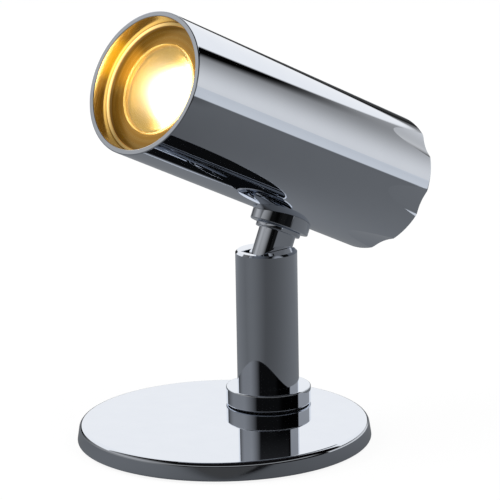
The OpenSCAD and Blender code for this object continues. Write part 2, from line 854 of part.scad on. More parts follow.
// Ceramic holder on the bulkhead
module lamp_holder() {
    color([0.92, 0.91, 0.86]) difference() {
        along_head() ring(holder_d / 2, 0, chamber_y, holder_front);
        pair(contact_pitch) translate([0, 0, lamp_base_rear - contact_len - fit]) {
            cylinder(d = contact_d + 2 * fit, h = contact_len + cut);
        }
        pair(holder_screw_pitch) translate([0, 0, chamber_y - cut]) {
            cylinder(d = holder_screw_d + 2 * fit, h = holder_screw_reach + fit + cut);
        }
    }
}

// Two screws through the bulkhead into the holder
module holder_screws() {
    head_d = 2 * holder_screw_d - 0.6;
    head_h = holder_screw_d * 0.7;
    color([0.66, 0.66, 0.68]) pair(holder_screw_pitch) {
        ring(holder_screw_d / 2, 0, bulkhead_y, chamber_y + holder_screw_reach);
        ring(head_d / 2, 0, bulkhead_y - head_h, bulkhead_y);
    }
}

// Disc that closes the head's rear and carries the switch
module rear_plate() {
    color([0.80, 0.80, 0.83]) difference() {
        along_head() ring(plate_r, bushing_r + fit, plate_front - plate_t, plate_front);
        at_plate_screws() translate([0, 0, plate_front - plate_t - cut]) {
            cylinder(d = plate_screw_d + 2 * fit, h = plate_t + 2 * cut);
        }
    }
}

// Three round-headed screws of the rear plate
module plate_screws() {
    head_d = 1.75 * plate_screw_d;
    head_h = 0.55 * plate_screw_d;
    color([0.66, 0.66, 0.68]) at_plate_screws() {
        ring(plate_screw_d / 2, 0, plate_front - plate_t, plate_front - plate_t + plate_screw_len);
        ring(head_d / 2, 0, plate_front - plate_t - head_h, plate_front - plate_t);
    }
}

// Push switch behind the plate with its bushing through it
module switch_body() {
    color([0.12, 0.12, 0.13]) along_head() difference() {
        union() {
            ring(switch_d / 2, 0, plate_front, plate_front + switch_len);
            ring(bushing_r, 0, bushing_end, plate_front + switch_len / 2);
        }
        translate([0, 0, well_top]) cylinder(r = well_r, h = well_depth);
        translate([0, 0, bushing_end - cut]) cylinder(r = button_r + button_run, h = lip_t + 2 * cut);
    }
}

// Ring nut that clamps the switch to the plate
module switch_nut() {
    nut_rear = plate_front - plate_t;
    color([0.75, 0.75, 0.77]) along_head() {
        ring(switch_nut_d / 2, bushing_r + fit, nut_rear - switch_nut_t, nut_rear);
    }
}

// Push button, held by its shoulder under the bushing's lip
module switch_button() {
    shoulder_z = well_top + groove_clear;
    color([0.10, 0.10, 0.11]) along_head() {
        turned(button_r, bushing_end - button_reach, shoulder_z + shoulder_h / 2, 0.6, 0.2);
        ring(shoulder_d / 2, 0, shoulder_z, shoulder_z + shoulder_h);
    }
}

base_plate();
foot_pad();
bottom_cover();
cover_screws();
cord_bush();
slip_washer();
swivel_spindle();
spindle_washer();
spindle_nut();
stop_pin();
spring_washer();
lock_nut();
turning_collar();
post_sleeve();
clevis_insert();
set_screws();
tilt_pin();
friction_washers();
neck();
saddle_block();
saddle_screws();
head_body();
front_ring();
lamp_bezel();
lens();
reflector();
led_board();
led_chip();
heat_sink();
lamp_base();
contact_pins();
lamp_holder();
holder_screws();
rear_plate();
plate_screws();
switch_body();
switch_nut();
switch_button();
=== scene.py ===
# %% [markdown]
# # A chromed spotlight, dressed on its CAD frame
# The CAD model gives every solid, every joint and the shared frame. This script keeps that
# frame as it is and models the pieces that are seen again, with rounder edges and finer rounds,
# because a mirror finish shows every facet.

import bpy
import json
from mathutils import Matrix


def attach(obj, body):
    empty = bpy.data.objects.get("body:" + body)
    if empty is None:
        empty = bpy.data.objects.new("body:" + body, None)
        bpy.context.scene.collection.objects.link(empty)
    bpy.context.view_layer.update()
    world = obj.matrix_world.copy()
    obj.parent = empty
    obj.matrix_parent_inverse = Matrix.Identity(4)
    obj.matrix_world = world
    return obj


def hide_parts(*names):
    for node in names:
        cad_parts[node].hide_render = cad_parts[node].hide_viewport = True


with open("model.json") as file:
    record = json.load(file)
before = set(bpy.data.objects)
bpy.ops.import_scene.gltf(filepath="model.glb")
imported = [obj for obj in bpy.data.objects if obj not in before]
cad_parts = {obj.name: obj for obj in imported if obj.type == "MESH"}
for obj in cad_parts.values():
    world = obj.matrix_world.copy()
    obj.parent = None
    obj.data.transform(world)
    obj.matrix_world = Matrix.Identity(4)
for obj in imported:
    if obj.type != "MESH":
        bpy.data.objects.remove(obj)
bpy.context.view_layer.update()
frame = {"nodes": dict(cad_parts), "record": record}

import json
import math

import bmesh
import bpy
from mathutils import Matrix, Vector

scene = bpy.context.scene

# %% [markdown]
# ## The camera
# A long lens far away keeps the tube's sides nearly parallel, as in the picture. The place and
# the three directions of the camera come from fitting the rims of the base, the collar and the
# head, so that each ellipse lies where it should. A camera could also be aimed by a Track To
# constraint, but a matrix keeps its small roll too.

# %% Camera
camera_right = Vector((0.69269, 0.72104, -0.01706))
camera_up = Vector((-0.16008, 0.17677, 0.97115))
camera_back = camera_right.cross(camera_up)
camera_place = Vector((0.82830, -0.77359, 0.35338))
camera_data = bpy.data.cameras.new("studio_camera")
camera_data.sensor_width = 36
camera_data.lens = 217.56
camera_data.clip_end = 20
camera = bpy.data.objects.new("studio_camera", camera_data)
scene.collection.objects.link(camera)
turn = Matrix((camera_right, camera_up, camera_back)).transposed().to_4x4()
camera.matrix_world = Matrix.Translation(camera_place) @ turn
scene.camera = camera
print("camera at", tuple(round(c, 3) for c in camera_place), "focal length", camera_data.lens)

# %% [markdown]
# ## The working frames
# The base stands on the origin. The post has its own upright axis, the neck leans back from the
# tilt pin, and the head lies across the neck. A matrix for each lets a piece be modelled upright
# around Z and then be put in its place. The post and the tilt pin stand at their joints.

# %% Frames
MM = 0.001
HEAD_PITCH = 25
HEAD_RISE = 49.016


def moved(x, y, z):
    """Matrix of a move in mm"""
    return Matrix.Translation((x * MM, y * MM, z * MM))


def turned(axis, degrees):
    """Matrix of a turn about an axis"""
    return Matrix.Rotation(math.radians(degrees), 4, axis)


joint_at = {joint["name"]: Vector(joint["pos_m"]) for joint in frame["record"]["behaviour"]["joints"]}
BASE = Matrix.Identity(4)
POST = Matrix.Translation((joint_at["post_swivel"].x, joint_at["post_swivel"].y, 0))
PIN = Matrix.Translation(joint_at["head_tilt"])
PIVOT = PIN @ turned("X", -HEAD_PITCH)
HEAD = PIVOT @ moved(0, 0, HEAD_RISE) @ turned("X", 90)
print("head axis passes", tuple(round(c, 4) for c in HEAD.translation))

# %% [markdown]
# ## Outlines with rounded corners
# Nearly every piece of this light is turned on a lathe: a bar spins and a tool follows an outline.
# An outline is a list of corners, and a corner may have a radius. Small steps of an arc replace such
# a corner, because a mirror finish shows the light along every rounded edge. A Bevel modifier would
# round all edges alike, while an outline can give each its own radius.

# %% Outline
def rounded(corners, step=5):
    """Outline in mm from corners (r, z) or (r, z, radius), whose radius becomes an arc"""
    outline = []
    for i, corner in enumerate(corners):
        here = Vector(corner[:2])
        if len(corner) == 2:
            outline.append(here)
            continue
        before = (Vector(corners[i - 1][:2]) - here).normalized()
        after = (Vector(corners[(i + 1) % len(corners)][:2]) - here).normalized()
        half = before.angle(after) / 2
        middle = here + (before + after).normalized() * corner[2] / math.sin(half)
        start = here + before * corner[2] / math.tan(half) - middle
        sweep = start.angle_signed(here + after * corner[2] / math.tan(half) - middle)
        count = max(3, math.ceil(math.degrees(abs(sweep)) / step))
        for k in range(count + 1):
            outline.append(middle + Matrix.Rotation(-sweep * k / count, 2) @ start)
    return outline


def closed(corners, step=5):
    """Rounded outline that returns to its first point"""
    outline = rounded(corners, step)
    return outline + outline[:1]


print("a square with one rounded corner has", len(rounded([(0, 0), (2, 0), (2, 2, 0.5), (0, 2)])), "points")

# %% [markdown]
# ## Drawing and turning
# One point is drawn out along the outline by the Extrude operator, and the Spin operator turns the
# chain of edges about Z, as the lathe does. A Screw modifier would do it too, but Spin leaves a mesh
# that can be cut at once. The first and the last turn meet, so their doubles are merged, and the
# normals are made to point outwards.

# %% Pen
def alone(piece):
    """Select one piece and nothing else"""
    bpy.ops.object.select_all(action="DESELECT")
    piece.select_set(True)
    bpy.context.view_layer.objects.active = piece
    return piece


def place(piece, where):
    """Put a piece in its frame and apply the place to its mesh"""
    alone(piece).matrix_world = where
    bpy.ops.object.transform_apply(location=True, rotation=True, scale=True)
    return piece


def draw(name, outline, plane):
    """Draw one point out along an outline in mm, and stay in edit mode"""
    bpy.ops.mesh.primitive_circle_add(vertices=3, radius=MM, location=(0, 0, 0))
    piece = bpy.context.object
    piece.name = piece.data.name = name
    points = [Vector(plane(*point)) * MM for point in outline]
    bpy.ops.object.mode_set(mode="EDIT")
    bpy.ops.mesh.select_mode(type="VERT")
    bpy.ops.mesh.select_all(action="SELECT")
    bpy.ops.mesh.merge(type="CENTER")
    bpy.ops.transform.translate(value=points[0])
    for a, b in zip(points, points[1:]):
        bpy.ops.mesh.extrude_region_move(TRANSFORM_OT_translate={"value": b - a})
    bpy.ops.mesh.select_all(action="SELECT")
    bpy.ops.mesh.remove_doubles(threshold=1e-6)
    return piece


print("one unit of an outline is", MM, "m")

# %% Lathe
LATHE_STEPS = 144


def lathe(name, outline, where, steps=LATHE_STEPS):
    """Turned piece from an outline in mm; its ends meet, or both lie on the axis"""
    piece = draw(name, outline, lambda r, z: (r, 0, z))
    bpy.ops.mesh.spin(steps=steps, angle=2 * math.pi, center=(0, 0, 0), axis=(0, 0, 1))
    bpy.ops.mesh.select_all(action="SELECT")
    bpy.ops.mesh.remove_doubles(threshold=2e-6)
    bpy.ops.mesh.normals_make_consistent(inside=False)
    bpy.ops.object.mode_set(mode="OBJECT")
    return place(piece, where)


print("a turned piece has", LATHE_STEPS, "steps around")

# %% [markdown]
# ## Cutting and polishing
# Holes are drilled by Boolean cuts with round cutters, and the cutter is deleted afterwards. Then the
# rounds are shaded smooth, the edges stay crisp, and a Weighted Normal modifier lets large faces
# lead: a mirror would otherwise show a soft bend beside every hole.

# %% Drill, cut and polish
def drill(radius, z0, z1, where, vertices=96):
    """Round cutter along the frame's Z, from z0 to z1 in mm"""
    bpy.ops.mesh.primitive_cylinder_add(vertices=vertices, radius=radius * MM,
                                        depth=(z1 - z0) * MM, location=(0, 0, (z0 + z1) / 2 * MM))
    cutter = bpy.context.object
    bpy.ops.object.transform_apply(location=True, rotation=True, scale=True)
    return place(cutter, where)


def cut(piece, cutter, operation="DIFFERENCE"):
    """Cut one piece with another by a Boolean modifier, and drop the cutter"""
    alone(piece)
    change = piece.modifiers.new("cut", "BOOLEAN")
    change.object = cutter
    change.operation = operation
    change.solver = "EXACT"
    bpy.ops.object.modifier_apply(modifier=change.name)
    bpy.data.objects.remove(cutter)


def polish(*pieces, angle=30):
    """Smooth the rounds, keep the edges crisp, and let large faces lead the normals"""
    for piece in pieces:
        alone(piece)
        bpy.ops.object.shade_smooth_by_angle(angle=math.radians(angle))
        even = piece.modifiers.new("even", "WEIGHTED_NORMAL")
        even.keep_sharp = True
        bpy.ops.object.modifier_apply(modifier=even.name)
        size = [round(c / MM, 2) for c in piece.dimensions]
        print(piece.name, len(piece.data.vertices), "vertices, size mm", size)


# %% [markdown]
# ## The base plate
# A heavy disc with a leaning edge, a rounded top edge and a small rounded foot. The flat top is a
# mirror, so two support rings sit close inside the rounding: without them, the rounding's normals
# would bend the reflections all over the top. All sizes of the pieces are in millimetres.

# %% Base plate
PLATE_R = 57.5
PLATE_BOTTOM = 0.8
PLATE_TOP = 7.8
EDGE_LEAN = math.radians(9)
TOP_ROUND = 1.9
TOP_ROUND_MIDDLE = 54.905
FOOT_ROUND = 0.8
PAD_SEAT_R = 53.55
PAD_SEAT = 1.0


def leaning_corner(middle, radius, level):
    """Radius where the leaning edge meets the level face beside a round, above (-1) or below (1)"""
    return middle + radius * (math.cos(EDGE_LEAN) + (math.sin(EDGE_LEAN) + level) * math.tan(EDGE_LEAN))


edge_out = leaning_corner(TOP_ROUND_MIDDLE, TOP_ROUND, -1)
foot_out = leaning_corner(PLATE_R - FOOT_ROUND, FOOT_ROUND, 1)
support_rings = [(53.0, PLATE_TOP), (54.7, PLATE_TOP)]
plate_edge = [(edge_out, PLATE_TOP, TOP_ROUND), (foot_out, PLATE_BOTTOM, FOOT_ROUND)]
pad_seat = [(PAD_SEAT_R, PLATE_BOTTOM), (PAD_SEAT_R, PAD_SEAT), (0, PAD_SEAT)]
base_plate = lathe("base_plate_polished",
                   rounded([(0, PLATE_TOP)] + support_rings + plate_edge + pad_seat, 4), BASE, 240)
print("base plate across", round(base_plate.dimensions.x / MM, 2), "mm")

# %% [markdown]
# ## The holes of the base plate
# The hollow underneath, the seat of its cover, the spindle's hole, the stop pin's hole and the cord's
# way are drilled, as on the real plate.

# %% Holes of the base plate
HOLLOW = moved(-2, 6.2, 0)
HOLLOW_R = 32.0
HOLLOW_TOP = 6.2
COVER_SEAT_R = 39.05
COVER_SEAT_TOP = 2.2
SPINDLE_HOLE_R = 5.05
STOP = POST @ moved(-13.4, 0, 0)
STOP_HOLE_R = 1.05
STOP_BOTTOM = 5
CORD_WAY = moved(0, 36.9, 4.4) @ turned("X", -90)
CORD_HOLE_R = 2.65
ABOVE_PLATE = 9
UNDER_PLATE = 0.4
cut(base_plate, drill(HOLLOW_R, UNDER_PLATE, HOLLOW_TOP, HOLLOW, 128))
cut(base_plate, drill(COVER_SEAT_R, UNDER_PLATE, COVER_SEAT_TOP, HOLLOW, 128))
cut(base_plate, drill(SPINDLE_HOLE_R, 0, ABOVE_PLATE, POST))
cut(base_plate, drill(STOP_HOLE_R, STOP_BOTTOM, ABOVE_PLATE, STOP, 32))
cut(base_plate, drill(CORD_HOLE_R, 0, 30, CORD_WAY))
polish(base_plate)

# %% [markdown]
# ## The collar of the swivel
# The post stands on a wide collar that turns on a thin dark washer. The picture seems to show a
# second collar below the first, but that is only the mirror image in the polished plate, and
# the washer is the dark line between the two. The collar is one turned outline, with the stop
# pin's groove underneath and finely rounded edges that catch a thin line of light.

# %% Collar and slip washer
SLIP_R = 15.5
SLIP_TOP = 8.2
SLIP_ROUND = 0.12
COLLAR_R = 16.9
COLLAR_BOTTOM = 8.25
COLLAR_TOP = 15.05
COLLAR_ROUND = 0.6
GROOVE_IN = 12.1
GROOVE_OUT = 14.7
GROOVE_TOP = 10.55
SPIGOT_R = 10.2
SPIGOT_TOP = 25.05
slip_washer = lathe("slip_washer_moulded", closed([
    (SPINDLE_HOLE_R, PLATE_TOP), (SLIP_R, PLATE_TOP, SLIP_ROUND), (SLIP_R, SLIP_TOP, SLIP_ROUND),
    (SPINDLE_HOLE_R, SLIP_TOP)], 15), POST)
cut(slip_washer, drill(STOP_HOLE_R, STOP_BOTTOM, ABOVE_PLATE, STOP, 32))
groove = [(GROOVE_IN, COLLAR_BOTTOM), (GROOVE_IN, GROOVE_TOP), (GROOVE_OUT, GROOVE_TOP),
          (GROOVE_OUT, COLLAR_BOTTOM)]
collar_side = [(COLLAR_R, COLLAR_BOTTOM, COLLAR_ROUND), (COLLAR_R, COLLAR_TOP, COLLAR_ROUND)]
spigot = [(SPIGOT_R, COLLAR_TOP), (SPIGOT_R, SPIGOT_TOP), (SPINDLE_HOLE_R, SPIGOT_TOP)]
turning_collar = lathe("turning_collar_polished", closed(
    [(SPINDLE_HOLE_R, COLLAR_BOTTOM)] + groove + collar_side + spigot), POST)
polish(slip_washer, turning_collar)

# %% [markdown]
# ## The post
# A tube with a closed top, slotted for the neck: square in front, round under the tilt pin and
# open to the rear, so that the head can lean back. The slot's shape is drawn as one outline,
# filled, drawn out across the post and cut in one go. Cutting in several overlapping blocks
# would leave seams where the blocks share a face. Support rings beside the edges keep the tube's
# mirror true.

# %% Post sleeve
POST_R = 12.25
POST_BORE = 10.25
POST_TOP = 70.45
CAP_BOTTOM = 67.95
CHAMFER = 0.8
SUPPORT = 0.45
bevel_low = POST_TOP - CHAMFER
bevel_in = POST_R - CHAMFER
post_side = [(POST_R, COLLAR_TOP), (POST_R, COLLAR_TOP + SUPPORT), (POST_R, bevel_low - SUPPORT),
             (POST_R, bevel_low), (bevel_in, POST_TOP), (bevel_in - SUPPORT, POST_TOP), (0, POST_TOP)]
post_inside = [(0, CAP_BOTTOM), (POST_BORE, CAP_BOTTOM)]
post_sleeve = lathe("post_sleeve_polished",
                    closed([(POST_BORE, COLLAR_TOP)] + post_side + post_inside), POST, 192)
print("post sleeve is", round(post_sleeve.dimensions.z / MM, 2), "mm tall")

# %% Slot and screw holes of the post
SLOT_R = 9
SLOT_HALF = 5.15
SLOT_REAR = 20
SET_SCREW_R = 2.05
SET_SCREW_HEIGHTS = (20.05, 45.95)


def prism(name, outline, half_width, where):
    """Solid from an outline (y, z) in mm, as wide as twice half_width along X"""
    piece = draw(name, outline, lambda y, z: (-half_width, y, z))
    bpy.ops.mesh.edge_face_add()
    bpy.ops.mesh.extrude_region_move(TRANSFORM_OT_translate={"value": (2 * half_width * MM, 0, 0)})
    bpy.ops.mesh.select_all(action="SELECT")
    bpy.ops.mesh.normals_make_consistent(inside=False)
    bpy.ops.object.mode_set(mode="OBJECT")
    return place(piece, where)


slot_turns = [math.radians(angle) for angle in range(0, 91, 3)]
slot_bottom = [(-SLOT_R * math.cos(a), -SLOT_R * math.sin(a)) for a in slot_turns]
slot_sides = [(SLOT_REAR, -SLOT_R), (SLOT_REAR, SLOT_R), (-SLOT_R, SLOT_R), (-SLOT_R, 0)]
cut(post_sleeve, prism("slot", slot_bottom + slot_sides, SLOT_HALF, PIN))
for height in SET_SCREW_HEIGHTS:
    cut(post_sleeve, drill(SET_SCREW_R, 5, 20, POST @ moved(0, 0, height) @ turned("X", -90), 48))
polish(post_sleeve)

# %% [markdown]
# ## The neck and the saddle block
# The neck is a flat blade with rounded ends, a drum around the tilt pin and a thin flange on
# top. A larger, oval block lies between the flange and the head. A round bar is the start for
# each. Its two halves are moved apart, which leaves flat sides, or it is stretched to an oval, and
# the rims of the flange and the block are bevelled. The drum is joined to the blade by a Boolean
# union, and the block is hollowed to the head's round.

# %% Long bars
def pick(piece, kind, test):
    """Select the vertices or edges that pass a test, in edit mode"""
    bpy.ops.mesh.select_mode(type=kind)
    bpy.ops.mesh.select_all(action="DESELECT")
    shape = bmesh.from_edit_mesh(piece.data)
    for element in {"VERT": shape.verts, "EDGE": shape.edges}[kind]:
        if test(element):
            element.select_set(True)
    bmesh.update_edit_mesh(piece.data)


def long_bar(name, length, width, z0, z1, where, edge, oval=False, vertices=120):
    """Bar that is long in Y, oval or with flat sides, with its rims rounded by edge, all in mm"""
    piece = drill(width / 2, z0, z1, turned("Z", 180 / vertices), vertices)
    piece.name = piece.data.name = name
    bpy.ops.object.mode_set(mode="EDIT")
    if oval:
        bpy.ops.mesh.select_all(action="SELECT")
        bpy.ops.transform.resize(value=(1, length / width, 1))
    else:
        for side in (-1, 1):
            pick(piece, "VERT", lambda v: v.co.y * side > 0)
            bpy.ops.transform.translate(value=(0, side * (length - width) / 2 * MM, 0))
    if edge:
        pick(piece, "EDGE", lambda e: abs(e.verts[0].co.z - e.verts[1].co.z) < 1e-6)
        bpy.ops.mesh.bevel(offset=edge * MM, segments=5, affect="EDGES")
    bpy.ops.object.mode_set(mode="OBJECT")
    return place(piece, where)


BLADE_LENGTH = 17.3
BLADE_WIDTH = 9.5
BLADE_TOP = 15.9
neck = long_bar("neck_polished", BLADE_LENGTH, BLADE_WIDTH, 0, BLADE_TOP, PIVOT, 0)
print("the neck's blade is", [round(c / MM, 2) for c in neck.dimensions], "mm, leaning")

# %% Neck and saddle block
DRUM_R = 8.4
PIN_HOLE_R = 2.55
FLANGE_LENGTH = 20.5
FLANGE_WIDTH = 12.7
FLANGE_BOTTOM = 15.016
FLANGE_TOP = 16.916
FLANGE_ROUND = 0.4
BLOCK_LENGTH = 28.6
BLOCK_WIDTH = 18.0
BLOCK_TOP = 27
BLOCK_ROUND = 0.5
HEAD_SEAT_R = 28.2
ACROSS = PIVOT @ turned("Y", 90)
flange = long_bar("flange", FLANGE_LENGTH, FLANGE_WIDTH, FLANGE_BOTTOM, FLANGE_TOP, PIVOT, FLANGE_ROUND)
cut(neck, drill(DRUM_R, -BLADE_WIDTH / 2, BLADE_WIDTH / 2, ACROSS, 144), "UNION")
cut(neck, flange, "UNION")
cut(neck, drill(PIN_HOLE_R, -BLADE_WIDTH, BLADE_WIDTH, ACROSS, 64))
saddle_block = long_bar("saddle_block_polished", BLOCK_LENGTH, BLOCK_WIDTH, FLANGE_TOP, BLOCK_TOP, PIVOT,
                        BLOCK_ROUND, oval=True, vertices=180)
cut(saddle_block, drill(HEAD_SEAT_R, -30, 30, HEAD, 360))
polish(neck, saddle_block)

# %% [markdown]
# ## The head
# A tube with a bulkhead inside, the lamp's bore in front and a chamber behind, all in one outline.
# The rear of the tube gets many rings: short faces keep the mirror true beside the flutes' edges.
# The outline's arcs step by less than four degrees, so that only the flutes' edges stay crisp.

# %% Head body
HEAD_R = 28.15
HEAD_FRONT = 91.65
HEAD_REAR = -47.1
BORE_R = 26.05
BULKHEAD_FRONT = 17
BULKHEAD_REAR = 11
LEAD_HOLE_R = 4
CHAMBER_R = 20.5
TAIL_R = 24.45
TAIL_SEAT = -41.6
bore = [(LEAD_HOLE_R, BULKHEAD_FRONT), (BORE_R, BULKHEAD_FRONT), (BORE_R, 40), (BORE_R, 91.0)]
rim = [(BORE_R, HEAD_FRONT, 0.35), (HEAD_R, HEAD_FRONT, 0.4), (HEAD_R, 90.8)]
rear_rings = [(HEAD_R, z) for z in range(-18, -46, -2)]
tail = [(HEAD_R, HEAD_REAR, 1.0), (TAIL_R, HEAD_REAR, 0.3), (TAIL_R, TAIL_SEAT)]
chamber = [(CHAMBER_R, TAIL_SEAT), (CHAMBER_R, BULKHEAD_REAR), (LEAD_HOLE_R, BULKHEAD_REAR)]
head_body = lathe("head_body_polished", closed(bore + rim + rear_rings + tail + chamber, 3.5), HEAD, 288)
print("head body has", len(head_body.data.vertices), "vertices before its flutes")

# %% [markdown]
# ## The finger flutes
# Seven shallow flutes run out of the head's rear end. Each is the trace of a large round cutter that
# leans by a few degrees, so the flute fades out forward. The cutters are joined first, so that one
# Boolean cut makes all the flutes.

# %% Flutes
FLUTE_COUNT = 7
FLUTE_TURN = 2.5
FLUTE_R = 18.4
FLUTE_DEPTH = 1.65
FLUTE_LENGTH = 21.8
FLUTE_REACH = 33
flute_lean = math.degrees(math.atan(FLUTE_DEPTH / FLUTE_LENGTH))
flute_place = moved(0, HEAD_R + FLUTE_R - FLUTE_DEPTH, HEAD_REAR) @ turned("X", -flute_lean)
flutes = []
for i in range(FLUTE_COUNT):
    around = HEAD @ turned("Z", FLUTE_TURN + i * 360 / FLUTE_COUNT)
    flutes.append(drill(FLUTE_R, -FLUTE_REACH, FLUTE_REACH, around @ flute_place, 300))
alone(flutes[0])
for flute in flutes:
    flute.select_set(True)
bpy.ops.object.join()
cut(head_body, flutes[0])
polish(head_body, angle=4)

# %% [markdown]
# ## The mouth of the head
# Inside the rim lie a spring ring that keeps the lamp in, the lamp's flat bezel, the lens and the
# bright cone behind it. The ring has rounded edges that draw bright arcs, and the lens is a
# little domed. The cone is modelled again with a curved inner side, finer than its CAD solid.

# %% Ring and bezel
RING_IN = 24.5
RING_OUT = 26.0
RING_FRONT = 84.9
RING_ROUND = 0.74
BEZEL_R = 25.0
BEZEL_REAR = 80.7
BEZEL_FRONT = 83.3
LEDGE_R = 16.6
LENS_SEAT_R = 17.65
LENS_SEAT = 81.75
front_ring = lathe("front_ring_sprung", closed([
    (RING_IN, BEZEL_FRONT), (RING_IN, RING_FRONT, RING_ROUND), (RING_OUT, RING_FRONT, RING_ROUND),
    (RING_OUT, BEZEL_FRONT)], 6), HEAD)
bezel_face = [(BEZEL_R, BEZEL_FRONT), (24.0, BEZEL_FRONT), (18.2, BEZEL_FRONT)]
lens_seat = [(LENS_SEAT_R, BEZEL_FRONT, 0.25), (LENS_SEAT_R, LENS_SEAT), (LEDGE_R, LENS_SEAT)]
lamp_bezel = lathe("lamp_bezel_turned", closed(
    [(LEDGE_R, BEZEL_REAR), (BEZEL_R, BEZEL_REAR)] + bezel_face + lens_seat, 15), HEAD)
polish(front_ring, lamp_bezel)

# %% Lens and reflector
LENS_R = 17.6
LENS_REAR = 81.8
LENS_EDGE = 84.2
LENS_ROUND = 0.15
DOME_R = 220
CHIP_FACE = 67.1
CONE_MOUTH = 80.65
THROAT_R = 5
MOUTH_R = 15.4
CONE_WALL = 1
CONE_CURVE = 1.25
CONE_STEPS = 16
dome_low = LENS_EDGE - math.sqrt(DOME_R ** 2 - LENS_R ** 2)
dome = [(r, dome_low + math.sqrt(DOME_R ** 2 - r ** 2)) for r in (17.3, 17, 16, 14, 12, 10, 8, 6, 4, 2, 0)]
lens_edge = [(0, LENS_REAR), (LENS_R, LENS_REAR, LENS_ROUND), (LENS_R, LENS_EDGE, LENS_ROUND)]
lens = lathe("lens_clear", rounded(lens_edge, 30) + dome, HEAD)
shares = [k / CONE_STEPS for k in range(CONE_STEPS + 1)]
cone_inner = [(THROAT_R + (MOUTH_R - THROAT_R) * t, CHIP_FACE + (CONE_MOUTH - CHIP_FACE) * t ** CONE_CURVE)
              for t in shares]
cone_outer = [(MOUTH_R + CONE_WALL, CONE_MOUTH), (THROAT_R + CONE_WALL, CHIP_FACE), (THROAT_R, CHIP_FACE)]
reflector = lathe("reflector_cone", cone_inner + cone_outer, HEAD)
polish(lens, reflector)

# %% [markdown]
# ## The tail of the head
# The rear is closed by a sunk plate with three screws and a push switch. One screw is modelled,
# with a rounded head and a hexagon socket, and copied to its three places. The ring nut gets
# four notches for a pin spanner, and the button a shallow dish for the finger.

# %% Rear plate and its screws
REAR_PLATE_R = 24.4
REAR_FACE = -44.1
SWITCH_R = 6.05
SCREW_R = 1.1
SCREW_TIP = -36.1
SCREW_HEAD_R = 1.925
SCREW_HEAD = -45.31
SOCKET_R = 0.85
SOCKET_FLOOR = -44.6
SCREW_CIRCLE = 22.2
SCREW_ANGLES = {"a": 30, "b": 150, "c": 270}
rear_plate = lathe("rear_plate_polished", closed([
    (SWITCH_R, TAIL_SEAT), (SWITCH_R, REAR_FACE, 0.2), (REAR_PLATE_R, REAR_FACE, 0.3),
    (REAR_PLATE_R, TAIL_SEAT)], 15), HEAD, 192)
shank = [(0, SCREW_TIP), (SCREW_R, SCREW_TIP), (SCREW_R, REAR_FACE)]
screw_head = rounded([(SCREW_HEAD_R, REAR_FACE), (SCREW_HEAD_R, SCREW_HEAD, 0.55), (0, SCREW_HEAD)], 10)
screw = lathe("plate_screw", shank + screw_head, BASE, 48)
cut(screw, drill(SOCKET_R, -46, SOCKET_FLOOR, BASE, 6))
plate_screws = []
for letter, angle in SCREW_ANGLES.items():
    alone(screw)
    bpy.ops.object.duplicate()
    copy = bpy.context.object
    copy.name = copy.data.name = f"plate_screw_{letter}"
    plate_screws.append(place(copy, HEAD @ turned("Z", angle) @ moved(SCREW_CIRCLE, 0, 0)))
bpy.data.objects.remove(screw)
polish(rear_plate, *plate_screws)

# %% Switch nut and button
NUT_R = 8.5
NUT_FACE = -46.1
NOTCH_FLOOR = -45.2
NOTCH_OPEN = -46.9
NOTCH_REACH = 12
NOTCH_HALF = 0.8
BUTTON_R = 4.4
BUTTON_FACE = -49.3
BUTTON_ROUND = 0.6
SHOULDER_R = 5.5
SHOULDER_REAR = -40.4
SHOULDER_FRONT = -38.4
switch_nut = lathe("switch_nut_notched", closed([
    (SWITCH_R, REAR_FACE), (SWITCH_R, NUT_FACE, 0.25), (NUT_R, NUT_FACE, 0.35), (NUT_R, REAR_FACE),
], 15), HEAD)
notch_outline = [(-NOTCH_REACH, NOTCH_OPEN), (NOTCH_REACH, NOTCH_OPEN), (NOTCH_REACH, NOTCH_FLOOR),
                 (-NOTCH_REACH, NOTCH_FLOOR), (-NOTCH_REACH, NOTCH_OPEN)]
for angle in (45, 135):
    cut(switch_nut, prism("notch", notch_outline, NOTCH_HALF, HEAD @ turned("Z", angle)))
dish = [(0, -49.0), (1.5, -49.06), (2.8, -49.24)]
button_edge = [(3.3, BUTTON_FACE), (BUTTON_R, BUTTON_FACE, BUTTON_ROUND), (BUTTON_R, SHOULDER_REAR)]
shoulder = [(SHOULDER_R, SHOULDER_REAR), (SHOULDER_R, SHOULDER_FRONT), (0, SHOULDER_FRONT)]
switch_button = lathe("switch_button_moulded", rounded(dish + button_edge + shoulder, 10), HEAD)
polish(switch_nut, switch_button)

# %% [markdown]
# ## Colours and nodes
# Every colour is written as the hex value that a screen shows, and one function turns it into the
# linear values that the shader works with. One more function adds a node with its settings and
# another sets or links its inputs, so that each finish below reads like a short list.

# %% Colour and node helpers
def linear(hex_value):
    """Linear colour from an sRGB hex value"""
    parts = [int(hex_value[i:i + 2], 16) / 255 for i in (1, 3, 5)]
    return [p / 12.92 if p <= 0.04045 else ((p + 0.055) / 1.055) ** 2.4 for p in parts] + [1]


def connect(tree, made, inputs):
    """Set or link a node's inputs, where a node given as a value stands for its first output in use"""
    for socket, value in inputs.items():
        if isinstance(value, bpy.types.Node):
            value = next(output for output in value.outputs if output.enabled)
        if isinstance(value, bpy.types.NodeSocket):
            tree.links.new(value, made.inputs[socket])
        else:
            made.inputs[socket].default_value = value
    return made


def node(tree, kind, inputs=None, **settings):
    """Add a shader node, set its properties, and set or link its inputs"""
    made = tree.nodes.new("ShaderNode" + kind)
    for name, value in settings.items():
        setattr(made, name, value)
    return connect(tree, made, inputs or {})


